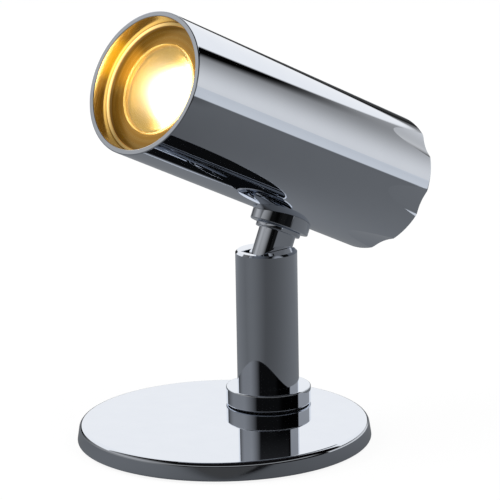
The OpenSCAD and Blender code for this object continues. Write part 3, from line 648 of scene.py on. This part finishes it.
def material(name):
    """New material with an empty tree, its shader and its Object coordinates"""
    made = bpy.data.materials.new(name)
    made.use_nodes = True
    tree = made.node_tree
    tree.nodes.clear()
    shader = node(tree, "BsdfPrincipled")
    node(tree, "OutputMaterial", {"Surface": shader})
    spot = node(tree, "TexCoord").outputs["Object"]
    return made, tree, shader, spot


print("hex #808080 is", round(linear("#808080")[0], 3), "in linear light")

# %% [markdown]
# ## Places in the head
# Several finishes follow the lamp's axis. A Mapping node brings a spot into the head's frame, whose Z
# is that axis. One side of the mouth gets a painted highlight: the bore, the bezel and the ring are
# painted brighter there by emission. Its share is found from the direction around the axis.

# %% Axis and painted highlight
SMOOTH = {"interpolation_type": "SMOOTHSTEP"}
PAINTED_HIGHLIGHT_SIDE = (-0.953, 0.304, 0)
MOUTH_START = 79 * MM
MOUTH_FULL = 80 * MM


def from_axis(tree, spot):
    """Place in the head's frame, whose Z is the lamp's axis, and the distance from that axis"""
    in_head = node(tree, "Mapping", {
        "Vector": spot, "Location": HEAD.translation, "Rotation": HEAD.to_euler()}, vector_type="TEXTURE")
    flat = node(tree, "VectorMath", {0: in_head, 1: (1, 1, 0)}, operation="MULTIPLY")
    return in_head, node(tree, "VectorMath", {0: flat}, operation="LENGTH")


def painted_highlight_share(tree, spot, start):
    """Share of the painted highlight on one side of the mouth, by the cosine to its side: none below start,
    all at one
    """
    in_head, distance = from_axis(tree, spot)
    # Painted highlight: the side of the mouth that gets brighter emission, by the direction around the axis
    to_side = node(tree, "VectorMath", {0: in_head, 1: PAINTED_HIGHLIGHT_SIDE}, operation="DOT_PRODUCT")
    cosine = node(tree, "Math", {0: to_side, 1: distance}, operation="DIVIDE")
    side = node(tree, "MapRange", {"Value": cosine, "From Min": start}, **SMOOTH)
    depth = node(tree, "SeparateXYZ", {"Vector": in_head}).outputs["Z"]
    mouth = node(tree, "MapRange", {"Value": depth, "From Min": MOUTH_START, "From Max": MOUTH_FULL})
    return node(tree, "Math", {0: side, 1: mouth}, operation="MULTIPLY")


print("the beam favours", PAINTED_HIGHLIGHT_SIDE, "in the head's frame")

# %% [markdown]
# ## Polished chrome plate
# Bright nickel and chrome over polished metal: a cool mirror whose only marks are the faint
# clouds that the buffing wheel leaves. The clouds change the roughness and, by a hair, the tone.
# They are about 9 mm across, and fine wiping marks of half a millimetre lie over them. The head's
# tube is chromed outside only. Inside, mixed in by the distance from the axis, the tone is pale gold:
# partly a gold chromate film on the bare aluminium, partly the lamp's warm reflection painted into
# the colour. One side of the mouth gets a painted highlight there, given as emission. Two materials on two
# sets of faces would do as well.

# %% Chrome plate
CLOUD_SIZE = 9 * MM
WIPE_SIZE = 0.5 * MM
GOLD_INSIDE_R = 26.1
GOLD_INSIDE_EDGE = 0.2


def chrome_plate(name, bright, dull, inner_radius=0.0):
    """Chrome plate with clouds; inside a radius in mm about the head's axis, a pale gold tone (film and
    painted warm reflection) and a painted highlight
    """
    made, tree, shader, spot = material(name)
    clouds = node(tree, "TexNoise", {"Vector": spot, "Scale": 1 / CLOUD_SIZE, "Detail": 3.0})
    wipes = node(tree, "TexNoise", {"Vector": spot, "Scale": 1 / WIPE_SIZE, "Detail": 2.0})
    haze = node(tree, "Math", {0: clouds, 1: wipes}, operation="MULTIPLY")
    rough = node(tree, "MapRange", {
        "Value": haze, "From Min": 0.1, "From Max": 0.45, "To Min": 0.012, "To Max": 0.035})
    tone = node(tree, "Mix", {"Factor": clouds, "A": linear(dull), "B": linear(bright)}, data_type="RGBA")
    if inner_radius:
        distance = from_axis(tree, spot)[1]
        inside = node(tree, "MapRange", {
            "Value": distance, "From Min": inner_radius * MM, "From Max": (inner_radius + GOLD_INSIDE_EDGE) * MM,
            "To Min": 1.0, "To Max": 0.0})
        # Pale gold inside: partly a chromate film, partly the lamp's warm reflection painted into the
        # colour
        tone = node(tree, "Mix", {"Factor": inside, "A": tone, "B": linear("#E6DAB4")}, data_type="RGBA")
        rough = node(tree, "Mix", {"Factor": inside, "A": rough, "B": 0.17})
        # Painted highlight: emission inside the mouth, on one side only
        lit = node(tree, "Math", {0: inside, 1: painted_highlight_share(tree, spot, 0.93)}, operation="MULTIPLY")
        glow = node(tree, "MapRange", {"Value": lit, "To Max": 0.55})
        connect(tree, shader, {"Emission Strength": glow, "Emission Color": linear("#FFB60A")})
    connect(tree, shader, {"Base Color": tone, "Roughness": rough, "Metallic": 1.0})
    return made


CHROME_TONES = ("#E4E9F1", "#DFE4ED")
polished_chrome = chrome_plate("polished_chrome_plate", *CHROME_TONES)
chromed_aluminium = chrome_plate("polished_chrome_plate_on_aluminium", *CHROME_TONES)
chromed_tube = chrome_plate("chrome_plate_on_chromated_aluminium", *CHROME_TONES, GOLD_INSIDE_R)
print("chrome:", polished_chrome.name, chromed_aluminium.name, chromed_tube.name)

# %% [markdown]
# ## Plain working finishes
# Zinc plate on the screws and washers is a grey with a slightly cloudy sheen. Black oxide is a thin
# dark skin with an oily gloss. Bare bronze darkens in patches, and the mouldings keep the grain of
# their tools. Each is a noise pattern of its own grain between two tones, with the roughness
# following it.

# %% Zinc, oxide, bronze, rubber, nylon and mouldings
def grained(name, pale, dark, grain_mm, smooth, rough, metal, bump_mm=0.0):
    """Finish between two tones and two roughnesses by a noise grain, with a relief if bump_mm is set"""
    made, tree, shader, spot = material(name)
    grain = node(tree, "TexNoise", {"Vector": spot, "Scale": 1 / (grain_mm * MM), "Detail": 4.0})
    tone = node(tree, "Mix", {"Factor": grain, "A": linear(dark), "B": linear(pale)}, data_type="RGBA")
    gloss = node(tree, "MapRange", {
        "Value": grain, "From Min": 0.25, "From Max": 0.75, "To Min": smooth, "To Max": rough})
    connect(tree, shader, {"Base Color": tone, "Roughness": gloss, "Metallic": metal})
    if bump_mm:
        relief = node(tree, "Bump", {"Height": grain, "Strength": 0.6, "Distance": bump_mm * MM})
        connect(tree, shader, {"Normal": relief})
    return made


# Zinc plate: soft grey, cloudy by the bath, fine spangle of about 1.5 mm
zinc_plate = grained("zinc_plated_steel", "#D6D7DA", "#B9BBC0", 1.5, 0.22, 0.38, 1.0)
# Black oxide: thin dark skin on steel, slightly oily
black_oxide = grained("black_oxide_steel", "#3A3A3D", "#26262A", 0.8, 0.3, 0.45, 1.0)
# Bare bronze: warm, darkened in patches of about 2 mm
bare_bronze = grained("bare_bronze", "#D9B978", "#B8924F", 2.0, 0.25, 0.4, 1.0)
# Rubber pad: matte, with the fine orange peel of a moulded sheet
pad_rubber = grained("moulded_rubber", "#2E2E30", "#222224", 0.6, 0.7, 0.85, 0.0, 0.05)
# Nylon: satin black moulding with a spark-eroded grain of about 0.35 mm
black_nylon = grained("moulded_black_nylon", "#2A2A2C", "#1D1D1F", 0.35, 0.42, 0.55, 0.0, 0.02)
# Heat-proof moulding: warm white with a low gloss
white_moulding = grained("white_heat_proof_moulding", "#F0EDE4", "#E3DFD3", 1.0, 0.35, 0.5, 0.0)
# Solder mask: white lacquer over copper, slightly uneven
white_board = grained("white_solder_mask", "#F2F1EB", "#E4E3DB", 1.2, 0.3, 0.45, 0.0)
print("plain finishes:", zinc_plate.name, black_oxide.name, bare_bronze.name, pad_rubber.name)

# %% [markdown]
# ## Turned aluminium
# The heat sink and the lamp's bezel are turned, and the tool leaves fine rings around the axis. A
# Wave texture draws rings, but only about its own middle, so the head's frame is used. Real rings
# lie 0.05 mm apart and would flicker, so they are drawn 1.2 mm apart. The bezel is gold chromated,
# and the light from the lens on it is painted as emission: most beside the lens, little at its rim,
# and more on the side of the mouth that gets the painted highlight.

# %% Turned aluminium
RING_PITCH = 1.2 * MM
WAVE_UNIT = 0.314


def fine_turned(name, pale, dark, stray_light=0.0):
    """Turned metal with rings around the head's axis, with the lens's light painted on as emission if
    stray_light is set
    """
    made, tree, shader, spot = material(name)
    in_head, distance = from_axis(tree, spot)
    rings = node(tree, "TexWave", {
        "Vector": in_head, "Scale": WAVE_UNIT / (2 * RING_PITCH), "Distortion": 0.6, "Detail": 2.0,
    }, wave_type="RINGS", rings_direction="Z", wave_profile="SIN").outputs["Fac"]
    tone = node(tree, "Mix", {"Factor": rings, "A": linear(dark), "B": linear(pale)}, data_type="RGBA")
    gloss = node(tree, "MapRange", {"Value": rings, "To Min": 0.2, "To Max": 0.28})
    connect(tree, shader, {"Base Color": tone, "Roughness": gloss, "Metallic": 1.0})
    if stray_light:
        # Painted light: the lens's light on the bezel as emission, stronger on the side of the painted
        # highlight
        stray = node(tree, "MapRange", {
            "Value": distance, "From Min": LENS_R * MM, "From Max": BEZEL_R * MM,
            "To Min": stray_light, "To Max": 0.25 * stray_light})
        painted_highlight = painted_highlight_share(tree, spot, 0.88)
        share = node(tree, "MapRange", {"Value": painted_highlight, "To Min": 0.75, "To Max": 2.2})
        stray = node(tree, "Math", {0: stray, 1: share}, operation="MULTIPLY")
        connect(tree, shader, {"Emission Strength": stray, "Emission Color": linear("#FFB43C")})
    return made


turned_aluminium = fine_turned("fine_turned_aluminium", "#D8D9DB", "#CDCED1")
bezel_aluminium = fine_turned("gold_chromated_turned_aluminium", "#A8905E", "#94794A", 0.34)
print("turned:", turned_aluminium.name, bezel_aluminium.name)

# %% [markdown]
# ## The light itself
# The LED is a disc of yellow phosphor that glows, and a metallised cone throws its light forward.
# The cone's glow is painted light, given as emission: brightest beside the LED, falling off to gold
# at its mouth, by the distance from the LED. A lamp inside would do the same, but it would need many
# samples to come out of the lens.

# %% Phosphor
DOT_SIZE = 1.2 * MM
led_phosphor, tree, shader, spot = material("glowing_phosphor")
dots = node(tree, "TexNoise", {"Vector": spot, "Scale": 1 / DOT_SIZE, "Detail": 2.0})
warm = node(tree, "Mix", {"Factor": dots, "A": linear("#FFC860"), "B": linear("#FFD98A")}, data_type="RGBA")
connect(tree, shader, {
    "Base Color": warm, "Emission Color": warm, "Emission Strength": 50.0, "Roughness": 0.6})
print("light:", led_phosphor.name)

# %% Metallised cone
# Vacuum metallised plastic: a mirror with a faint orange peel, gold by the light that it throws, which is
# painted on as emission
PEEL_SIZE = 3 * MM
GLOW_FAR = 18.5 * MM
GLOW_NEAR = 6.5 * MM
metallised_cone, tree, shader, spot = material("vacuum_metallised_cone")
peel = node(tree, "TexNoise", {"Vector": spot, "Scale": 1 / PEEL_SIZE, "Detail": 4.0})
skin = node(tree, "Mix", {"Factor": peel, "A": linear("#907A48"), "B": linear("#A8925E")}, data_type="RGBA")
chip_place = HEAD @ Vector((0, 0, CHIP_FACE * MM))
# Painted light: emission by the distance from the LED
from_chip = node(tree, "VectorMath", {0: spot, 1: chip_place}, operation="DISTANCE")
near_chip = node(tree, "MapRange", {
    "Value": from_chip, "From Min": GLOW_FAR, "From Max": GLOW_NEAR}, **SMOOTH)
cubed = node(tree, "Math", {0: near_chip, 1: 3.0}, operation="POWER")
power = node(tree, "MapRange", {"Value": cubed, "To Min": 0.2, "To Max": 20.0})
hue = node(tree, "Mix", {
    "Factor": near_chip, "A": linear("#F8D468"), "B": linear("#FFF3DE")}, data_type="RGBA")
connect(tree, shader, {"Base Color": skin, "Roughness": 0.16, "Metallic": 1.0})
connect(tree, shader, {"Emission Color": hue, "Emission Strength": power})
print("cone:", metallised_cone.name, "lit from", tuple(round(c, 4) for c in chip_place))

# %% [markdown]
# ## The lens and its ring
# The lens is clear plastic with a light frost. Its glow is painted light, an emission for the light
# that the frost scatters: white in its middle, gold farther out, and bright again at its edge, where
# the light that runs inside it comes out. The spring ring around it is gold passivated steel, a warm
# and half-bright skin. Its crest has a painted highlight, given as emission, brighter on one side of the
# mouth.

# %% Frosted lens
FROST_SIZE = 0.7 * MM
HEART_R = 16 * MM
EDGE_START = 17.1 * MM
EDGE_FULL = 17.45 * MM
lens_clear, tree, shader, spot = material("frosted_clear_polycarbonate")
frost = node(tree, "TexNoise", {"Vector": spot, "Scale": 1 / FROST_SIZE, "Detail": 2.0})
veil = node(tree, "MapRange", {"Value": frost, "To Min": 0.1, "To Max": 0.25})
distance = from_axis(tree, spot)[1]
# Painted glow: emission for the light that the frost scatters, strongest in the middle and at the edge
heart = node(tree, "MapRange", {"Value": distance, "From Min": HEART_R, "From Max": 0.0})
heart_glow = node(tree, "Math", {0: heart, 1: 2.0}, operation="POWER")
edge_glow = node(tree, "MapRange", {
    "Value": distance, "From Min": EDGE_START, "From Max": EDGE_FULL, "To Min": 0.1, "To Max": 0.3})
glow = node(tree, "Math", {0: heart_glow, 1: edge_glow}, operation="ADD")
hue = node(tree, "Mix", {"Factor": heart, "A": linear("#F4D26A"), "B": linear("#FFF6E4")}, data_type="RGBA")
connect(tree, shader, {"Base Color": linear("#FFF6E4"), "Roughness": veil, "IOR": 1.58})
connect(tree, shader, {"Transmission Weight": 1.0, "Emission Color": hue, "Emission Strength": glow})
print("lens:", lens_clear.name)

# %% Spring steel
SKIN_SIZE = 1 * MM
CREST_START = 84.3 * MM
CREST_FULL = 84.85 * MM
spring_steel, tree, shader, spot = material("gold_passivated_spring_steel")
skin = node(tree, "TexNoise", {"Vector": spot, "Scale": 1 / SKIN_SIZE, "Detail": 4.0})
tone = node(tree, "Mix", {"Factor": skin, "A": linear("#CDAE6C"), "B": linear("#E0C488")}, data_type="RGBA")
ring_height = node(tree, "SeparateXYZ", {"Vector": from_axis(tree, spot)[0]}).outputs["Z"]
# Painted highlight on the crest, as emission, brighter on one side of the mouth
crest = node(tree, "MapRange", {
    "Value": ring_height, "From Min": CREST_START, "From Max": CREST_FULL, "To Min": 0.06, "To Max": 0.8,
}, **SMOOTH)
share = node(tree, "MapRange", {"Value": painted_highlight_share(tree, spot, 0.2), "To Min": 0.35, "To Max": 2.0})
painted_crest_glint = node(tree, "Math", {0: crest, 1: share}, operation="MULTIPLY")
connect(tree, shader, {"Base Color": tone, "Roughness": 0.16, "Metallic": 1.0})
connect(tree, shader, {"Emission Color": linear("#FFD88C"), "Emission Strength": painted_crest_glint})
print("ring:", spring_steel.name)

# %% [markdown]
# ## Dressing every piece
# Each new piece rides on the body that its CAD node belongs to, stands for that node and takes its
# finish from the record's slot. The CAD nodes that stay, most of them inside, get the same
# finishes in place of their plain colours.

# %% Finishes by slot
finish_of = {
    "chrome": polished_chrome, "chromed_aluminium": chromed_aluminium, "plated_steel": zinc_plate,
    "black_steel": black_oxide, "turned_aluminium": turned_aluminium, "bronze": bare_bronze,
    "pad_rubber": pad_rubber, "black_nylon": black_nylon, "white_moulding": white_moulding,
    "white_board": white_board, "phosphor": led_phosphor, "metallised_plastic": metallised_cone,
    "clear_lens": lens_clear,
}
own_finish = {"head_body": chromed_tube, "lamp_bezel": bezel_aluminium, "front_ring": spring_steel}
slot_of = {part["node"]: part["material_slot"] for part in frame["record"]["subparts"]}
body_of = {name: body for body, names in frame["record"]["behaviour"]["bodies"].items() for name in names}
# A piece has its node's name with one more word, and each screw is one of plate_screws
pieces = (base_plate, slip_washer, turning_collar, post_sleeve, neck, saddle_block, head_body, front_ring,
          lamp_bezel, lens, reflector, rear_plate, switch_nut, switch_button)
stands_for = {piece: piece.name.rsplit("_", 1)[0] for piece in pieces}
for screw in plate_screws:
    stands_for[screw] = "plate_screws"
for piece, name in stands_for.items():
    piece.data.materials.clear()
    piece.data.materials.append(own_finish.get(name, finish_of[slot_of[name]]))
    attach(piece, body_of[name])
    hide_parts(name)
for name, solid in frame["nodes"].items():
    solid.data.materials.clear()
    solid.data.materials.append(finish_of[slot_of[name]])
print("new pieces:", len(stands_for), "finishes:", len(finish_of))

# %% [markdown]
# ## The studio
# A mirror is only as good as what it sees. Behind and above the light lies a long white panel,
# which makes the bright stripe on the head and the white top of the base. The studio is drawn by
# direction in the world, because real panels would also have to be hidden from the other views.
# Directions are turned first, so that +Y points away from the camera, and a direction's slope tells
# where it meets a level panel overhead.

# %% World and directions
STUDIO_TURN = math.radians(-46.39)
LOWEST = 0.001
world = bpy.data.worlds.new("studio_world")
scene.world = world
world.use_nodes = True
tree = world.node_tree
tree.nodes.clear()
direction = node(tree, "TexCoord").outputs["Generated"]
look = node(tree, "VectorRotate", {"Vector": direction, "Angle": STUDIO_TURN}, rotation_type="Z_AXIS")
way = node(tree, "SeparateXYZ", {"Vector": look}).outputs
height = node(tree, "Math", {0: way["Z"], 1: LOWEST}, operation="MAXIMUM")
sideways = node(tree, "Math", {0: way["X"]}, operation="ABSOLUTE")
across = node(tree, "Math", {0: sideways, 1: height}, operation="DIVIDE")
along = node(tree, "Math", {0: way["Y"], 1: height}, operation="DIVIDE")
print("studio turned by", round(math.degrees(STUDIO_TURN), 2), "degrees")

# %% White panel
PANEL_REACH = 1.94
PANEL_START = 0.6
panel_width = node(tree, "MapRange", {
    "Value": across, "From Min": PANEL_REACH, "From Max": PANEL_REACH - 0.1}, **SMOOTH)
panel_start = node(tree, "MapRange", {
    "Value": along, "From Min": PANEL_START, "From Max": PANEL_START + 0.15}, **SMOOTH)
panel = node(tree, "Math", {0: panel_width, 1: panel_start}, operation="MULTIPLY")
print("panel reaches", PANEL_REACH, "times its height to each side")

# %% [markdown]
# ## Cards and the room
# A grey card on the right is bright at the floor and fades upwards, and another one stands on the
# left. A third hangs above and behind the camera, where the neck and the saddle block see it. The
# rest of the room behind the camera is dark, most of all on the right. Where two of them meet, the
# brighter one counts.

# %% Right card
CARD_TOP = 0.335
CARD_SOFT = 0.02
fall = node(tree, "Math", {0: way["Z"], 1: 2.0}, operation="POWER")
right_card = node(tree, "MapRange", {"Value": fall, "From Max": 0.1, "To Min": 0.76, "To Max": 0.3})
card_top = node(tree, "MapRange", {
    "Value": way["Z"], "From Min": CARD_TOP + CARD_SOFT, "From Max": CARD_TOP - CARD_SOFT}, **SMOOTH)
card_side = node(tree, "MapRange", {"Value": way["Y"], "From Min": -0.06, "From Max": 0.0}, **SMOOTH)
card_start = node(tree, "MapRange", {"Value": way["X"], "From Min": 0.3, "From Max": 0.5})
for border in (card_top, card_side, card_start):
    right_card = node(tree, "Math", {0: right_card, 1: border}, operation="MULTIPLY")
print("right card up to", round(math.degrees(math.asin(CARD_TOP)), 1), "degrees")

# %% Left card and front card
FRONT_LOW = 0.295
FRONT_HIGH = 0.6
left_side = node(tree, "MapRange", {"Value": way["X"], "From Min": -0.5, "From Max": -0.9})
left_rise = node(tree, "MapRange", {
    "Value": way["Z"], "From Min": 0.28, "From Max": 0.38, "To Min": 0.26, "To Max": 0.46})
left_card = node(tree, "Math", {0: left_side, 1: left_rise}, operation="MULTIPLY")
front_card = node(tree, "MapRange", {
    "Value": way["Z"], "From Min": FRONT_LOW, "From Max": 0.49, "To Max": 0.375})
front_top = node(tree, "MapRange", {"Value": way["Z"], "From Min": FRONT_HIGH, "From Max": 0.54})
front_side = node(tree, "MapRange", {"Value": way["Y"], "From Min": -0.05, "From Max": -0.25})
for border in (front_top, front_side):
    front_card = node(tree, "Math", {0: front_card, 1: border}, operation="MULTIPLY")
print("front card from", FRONT_LOW, "to", FRONT_HIGH, "of a direction's rise")

# %% Room, and what each ray sees
# The camera sees plain white, mirrors see the room, and all other rays a soft grey
room = node(tree, "MapRange", {
    "Value": way["Z"], "From Min": 0.03, "From Max": 0.15, "To Min": 0.055, "To Max": 0.005})
dark_side = node(tree, "MapRange", {
    "Value": way["X"], "From Min": 0.4, "From Max": 0.6, "To Min": 1.0, "To Max": 0.15})
room = node(tree, "Math", {0: room, 1: dark_side}, operation="MULTIPLY")
for light in (panel, right_card, left_card, front_card):
    room = node(tree, "Math", {0: room, 1: light}, operation="MAXIMUM")
ray = node(tree, "LightPath").outputs
unseen = node(tree, "Mix", {"Factor": ray["Is Glossy Ray"], "A": 0.6, "B": room})
strength = node(tree, "Mix", {"Factor": ray["Is Camera Ray"], "A": unseen, "B": 1.0})
sky = node(tree, "Background", {"Color": linear("#FFFFFF"), "Strength": strength})
node(tree, "OutputWorld", {"Surface": sky})
print("panel and cards in", len(tree.nodes), "nodes")

# %% [markdown]
# ## The floor
# The camera sees white paper with the light's soft shadow. The mirrors see the same paper in the
# greys that it has under this light: darker towards the camera, paler behind, fading with the
# distance, with a pale edge half a metre to the right and a dark corner in front of that edge. One
# material does both by asking what kind of ray has come. A true grey floor would need a wall of light
# to look white to the camera.

# %% Floor sheet
FLOOR_R = 2.2
bpy.ops.mesh.primitive_circle_add(vertices=96, radius=FLOOR_R, fill_type="NGON", location=(0, 0, 0))
floor = bpy.context.object
floor.name = floor.data.name = "studio_floor"
floor_paper, tree, shader, spot = material("studio_floor_paper")
floor.data.materials.append(floor_paper)
print("floor across", floor.dimensions.x, "m")

# %% Greys of the floor by direction and distance
turned_spot = node(tree, "VectorRotate", {"Vector": spot, "Angle": STUDIO_TURN}, rotation_type="Z_AXIS")
ground = node(tree, "SeparateXYZ", {"Vector": turned_spot}).outputs
outward = node(tree, "VectorMath", {0: turned_spot}, operation="NORMALIZE")
facing = node(tree, "SeparateXYZ", {"Vector": outward}).outputs
apart = node(tree, "VectorMath", {0: turned_spot}, operation="LENGTH")
grey = node(tree, "MapRange", {
    "Value": facing["Y"], "From Min": -1.0, "From Max": 1.0, "To Min": 0.089, "To Max": 0.22})
fade = node(tree, "MapRange", {
    "Value": apart, "From Min": 0.4, "From Max": 1.2, "To Min": 1.0, "To Max": 0.65})
leftness = node(tree, "MapRange", {"Value": facing["X"], "From Min": 0.0, "From Max": -1.0})
slant = node(tree, "Math", {0: leftness, 1: facing["Y"]}, operation="MULTIPLY")
left_front = node(tree, "MapRange", {
    "Value": slant, "From Min": 0.0, "From Max": -0.5, "To Min": 1.0, "To Max": 1.42})
print("greys by direction in", len(tree.nodes), "nodes")

# %% Pale and dark patches of the floor
behind = node(tree, "MapRange", {
    "Value": ground["Y"], "From Min": 0.1, "From Max": 0.45, "To Max": 0.14}, **SMOOTH)
right_edge = node(tree, "MapRange", {
    "Value": ground["X"], "From Min": 0.52, "From Max": 0.575, "To Max": 0.58}, **SMOOTH)
right_end = node(tree, "MapRange", {"Value": ground["Y"], "From Min": -0.14, "From Max": -0.1}, **SMOOTH)
pale_edge = node(tree, "Math", {0: right_edge, 1: right_end}, operation="MULTIPLY")
far_right = node(tree, "MapRange", {"Value": ground["X"], "From Min": 0.3, "From Max": 0.4})
in_front = node(tree, "MapRange", {"Value": ground["Y"], "From Min": -0.08, "From Max": -0.13})
corner = node(tree, "Math", {0: far_right, 1: in_front}, operation="MULTIPLY")
dark_corner = node(tree, "MapRange", {"Value": corner, "To Min": 1.0, "To Max": 0.08})
for share in (fade, left_front, dark_corner):
    grey = node(tree, "Math", {0: grey, 1: share}, operation="MULTIPLY")
for patch in (behind, pale_edge):
    grey = node(tree, "Math", {0: grey, 1: patch}, operation="ADD")
print("greys of the floor in", len(tree.nodes), "nodes")

# %% What each ray sees of the floor
ray = node(tree, "LightPath").outputs
mirrored = node(tree, "Emission", {"Color": linear("#F6FAFF"), "Strength": grey})
paper = node(tree, "Emission", {"Color": linear("#FFFFFF"), "Strength": 0.90})
shade = node(tree, "BsdfDiffuse", {"Color": (0.12, 0.12, 0.12, 1)})
sheet = node(tree, "AddShader", {0: paper, 1: shade})
bounce = node(tree, "BsdfDiffuse", {"Color": (0.8, 0.8, 0.8, 1)})
unseen = node(tree, "MixShader", {0: ray["Is Glossy Ray"], 1: bounce, 2: mirrored})
shown = node(tree, "MixShader", {0: ray["Is Camera Ray"], 1: unseen, 2: sheet})
tree.nodes.remove(shader)
connect(tree, tree.get_output_node("ALL"), {"Surface": shown})
print("floor material", floor_paper.name)

# %% [markdown]
# ## Two soft lamps
# Large square lamps from both sides give the floor its soft shadow. They are hidden from the
# mirrors, where they would show as squares.

# %% Soft lamps
LAMP_SIZE = 1.2
for name, lamp_place, watts in (("soft_key", (-0.9, -0.5, 1.6), 12.0), ("soft_fill", (0.9, 0.6, 1.5), 8.0)):
    lamp_data = bpy.data.lights.new(name, "AREA")
    lamp_data.size = LAMP_SIZE
    lamp_data.energy = watts
    lamp = bpy.data.objects.new(name, lamp_data)
    scene.collection.objects.link(lamp)
    lamp.location = lamp_place
    lamp.rotation_euler = (-Vector(lamp_place)).to_track_quat("-Z", "Y").to_euler()
    lamp.visible_glossy = False
    lamp.visible_camera = False
scene.view_settings.view_transform = "Standard"
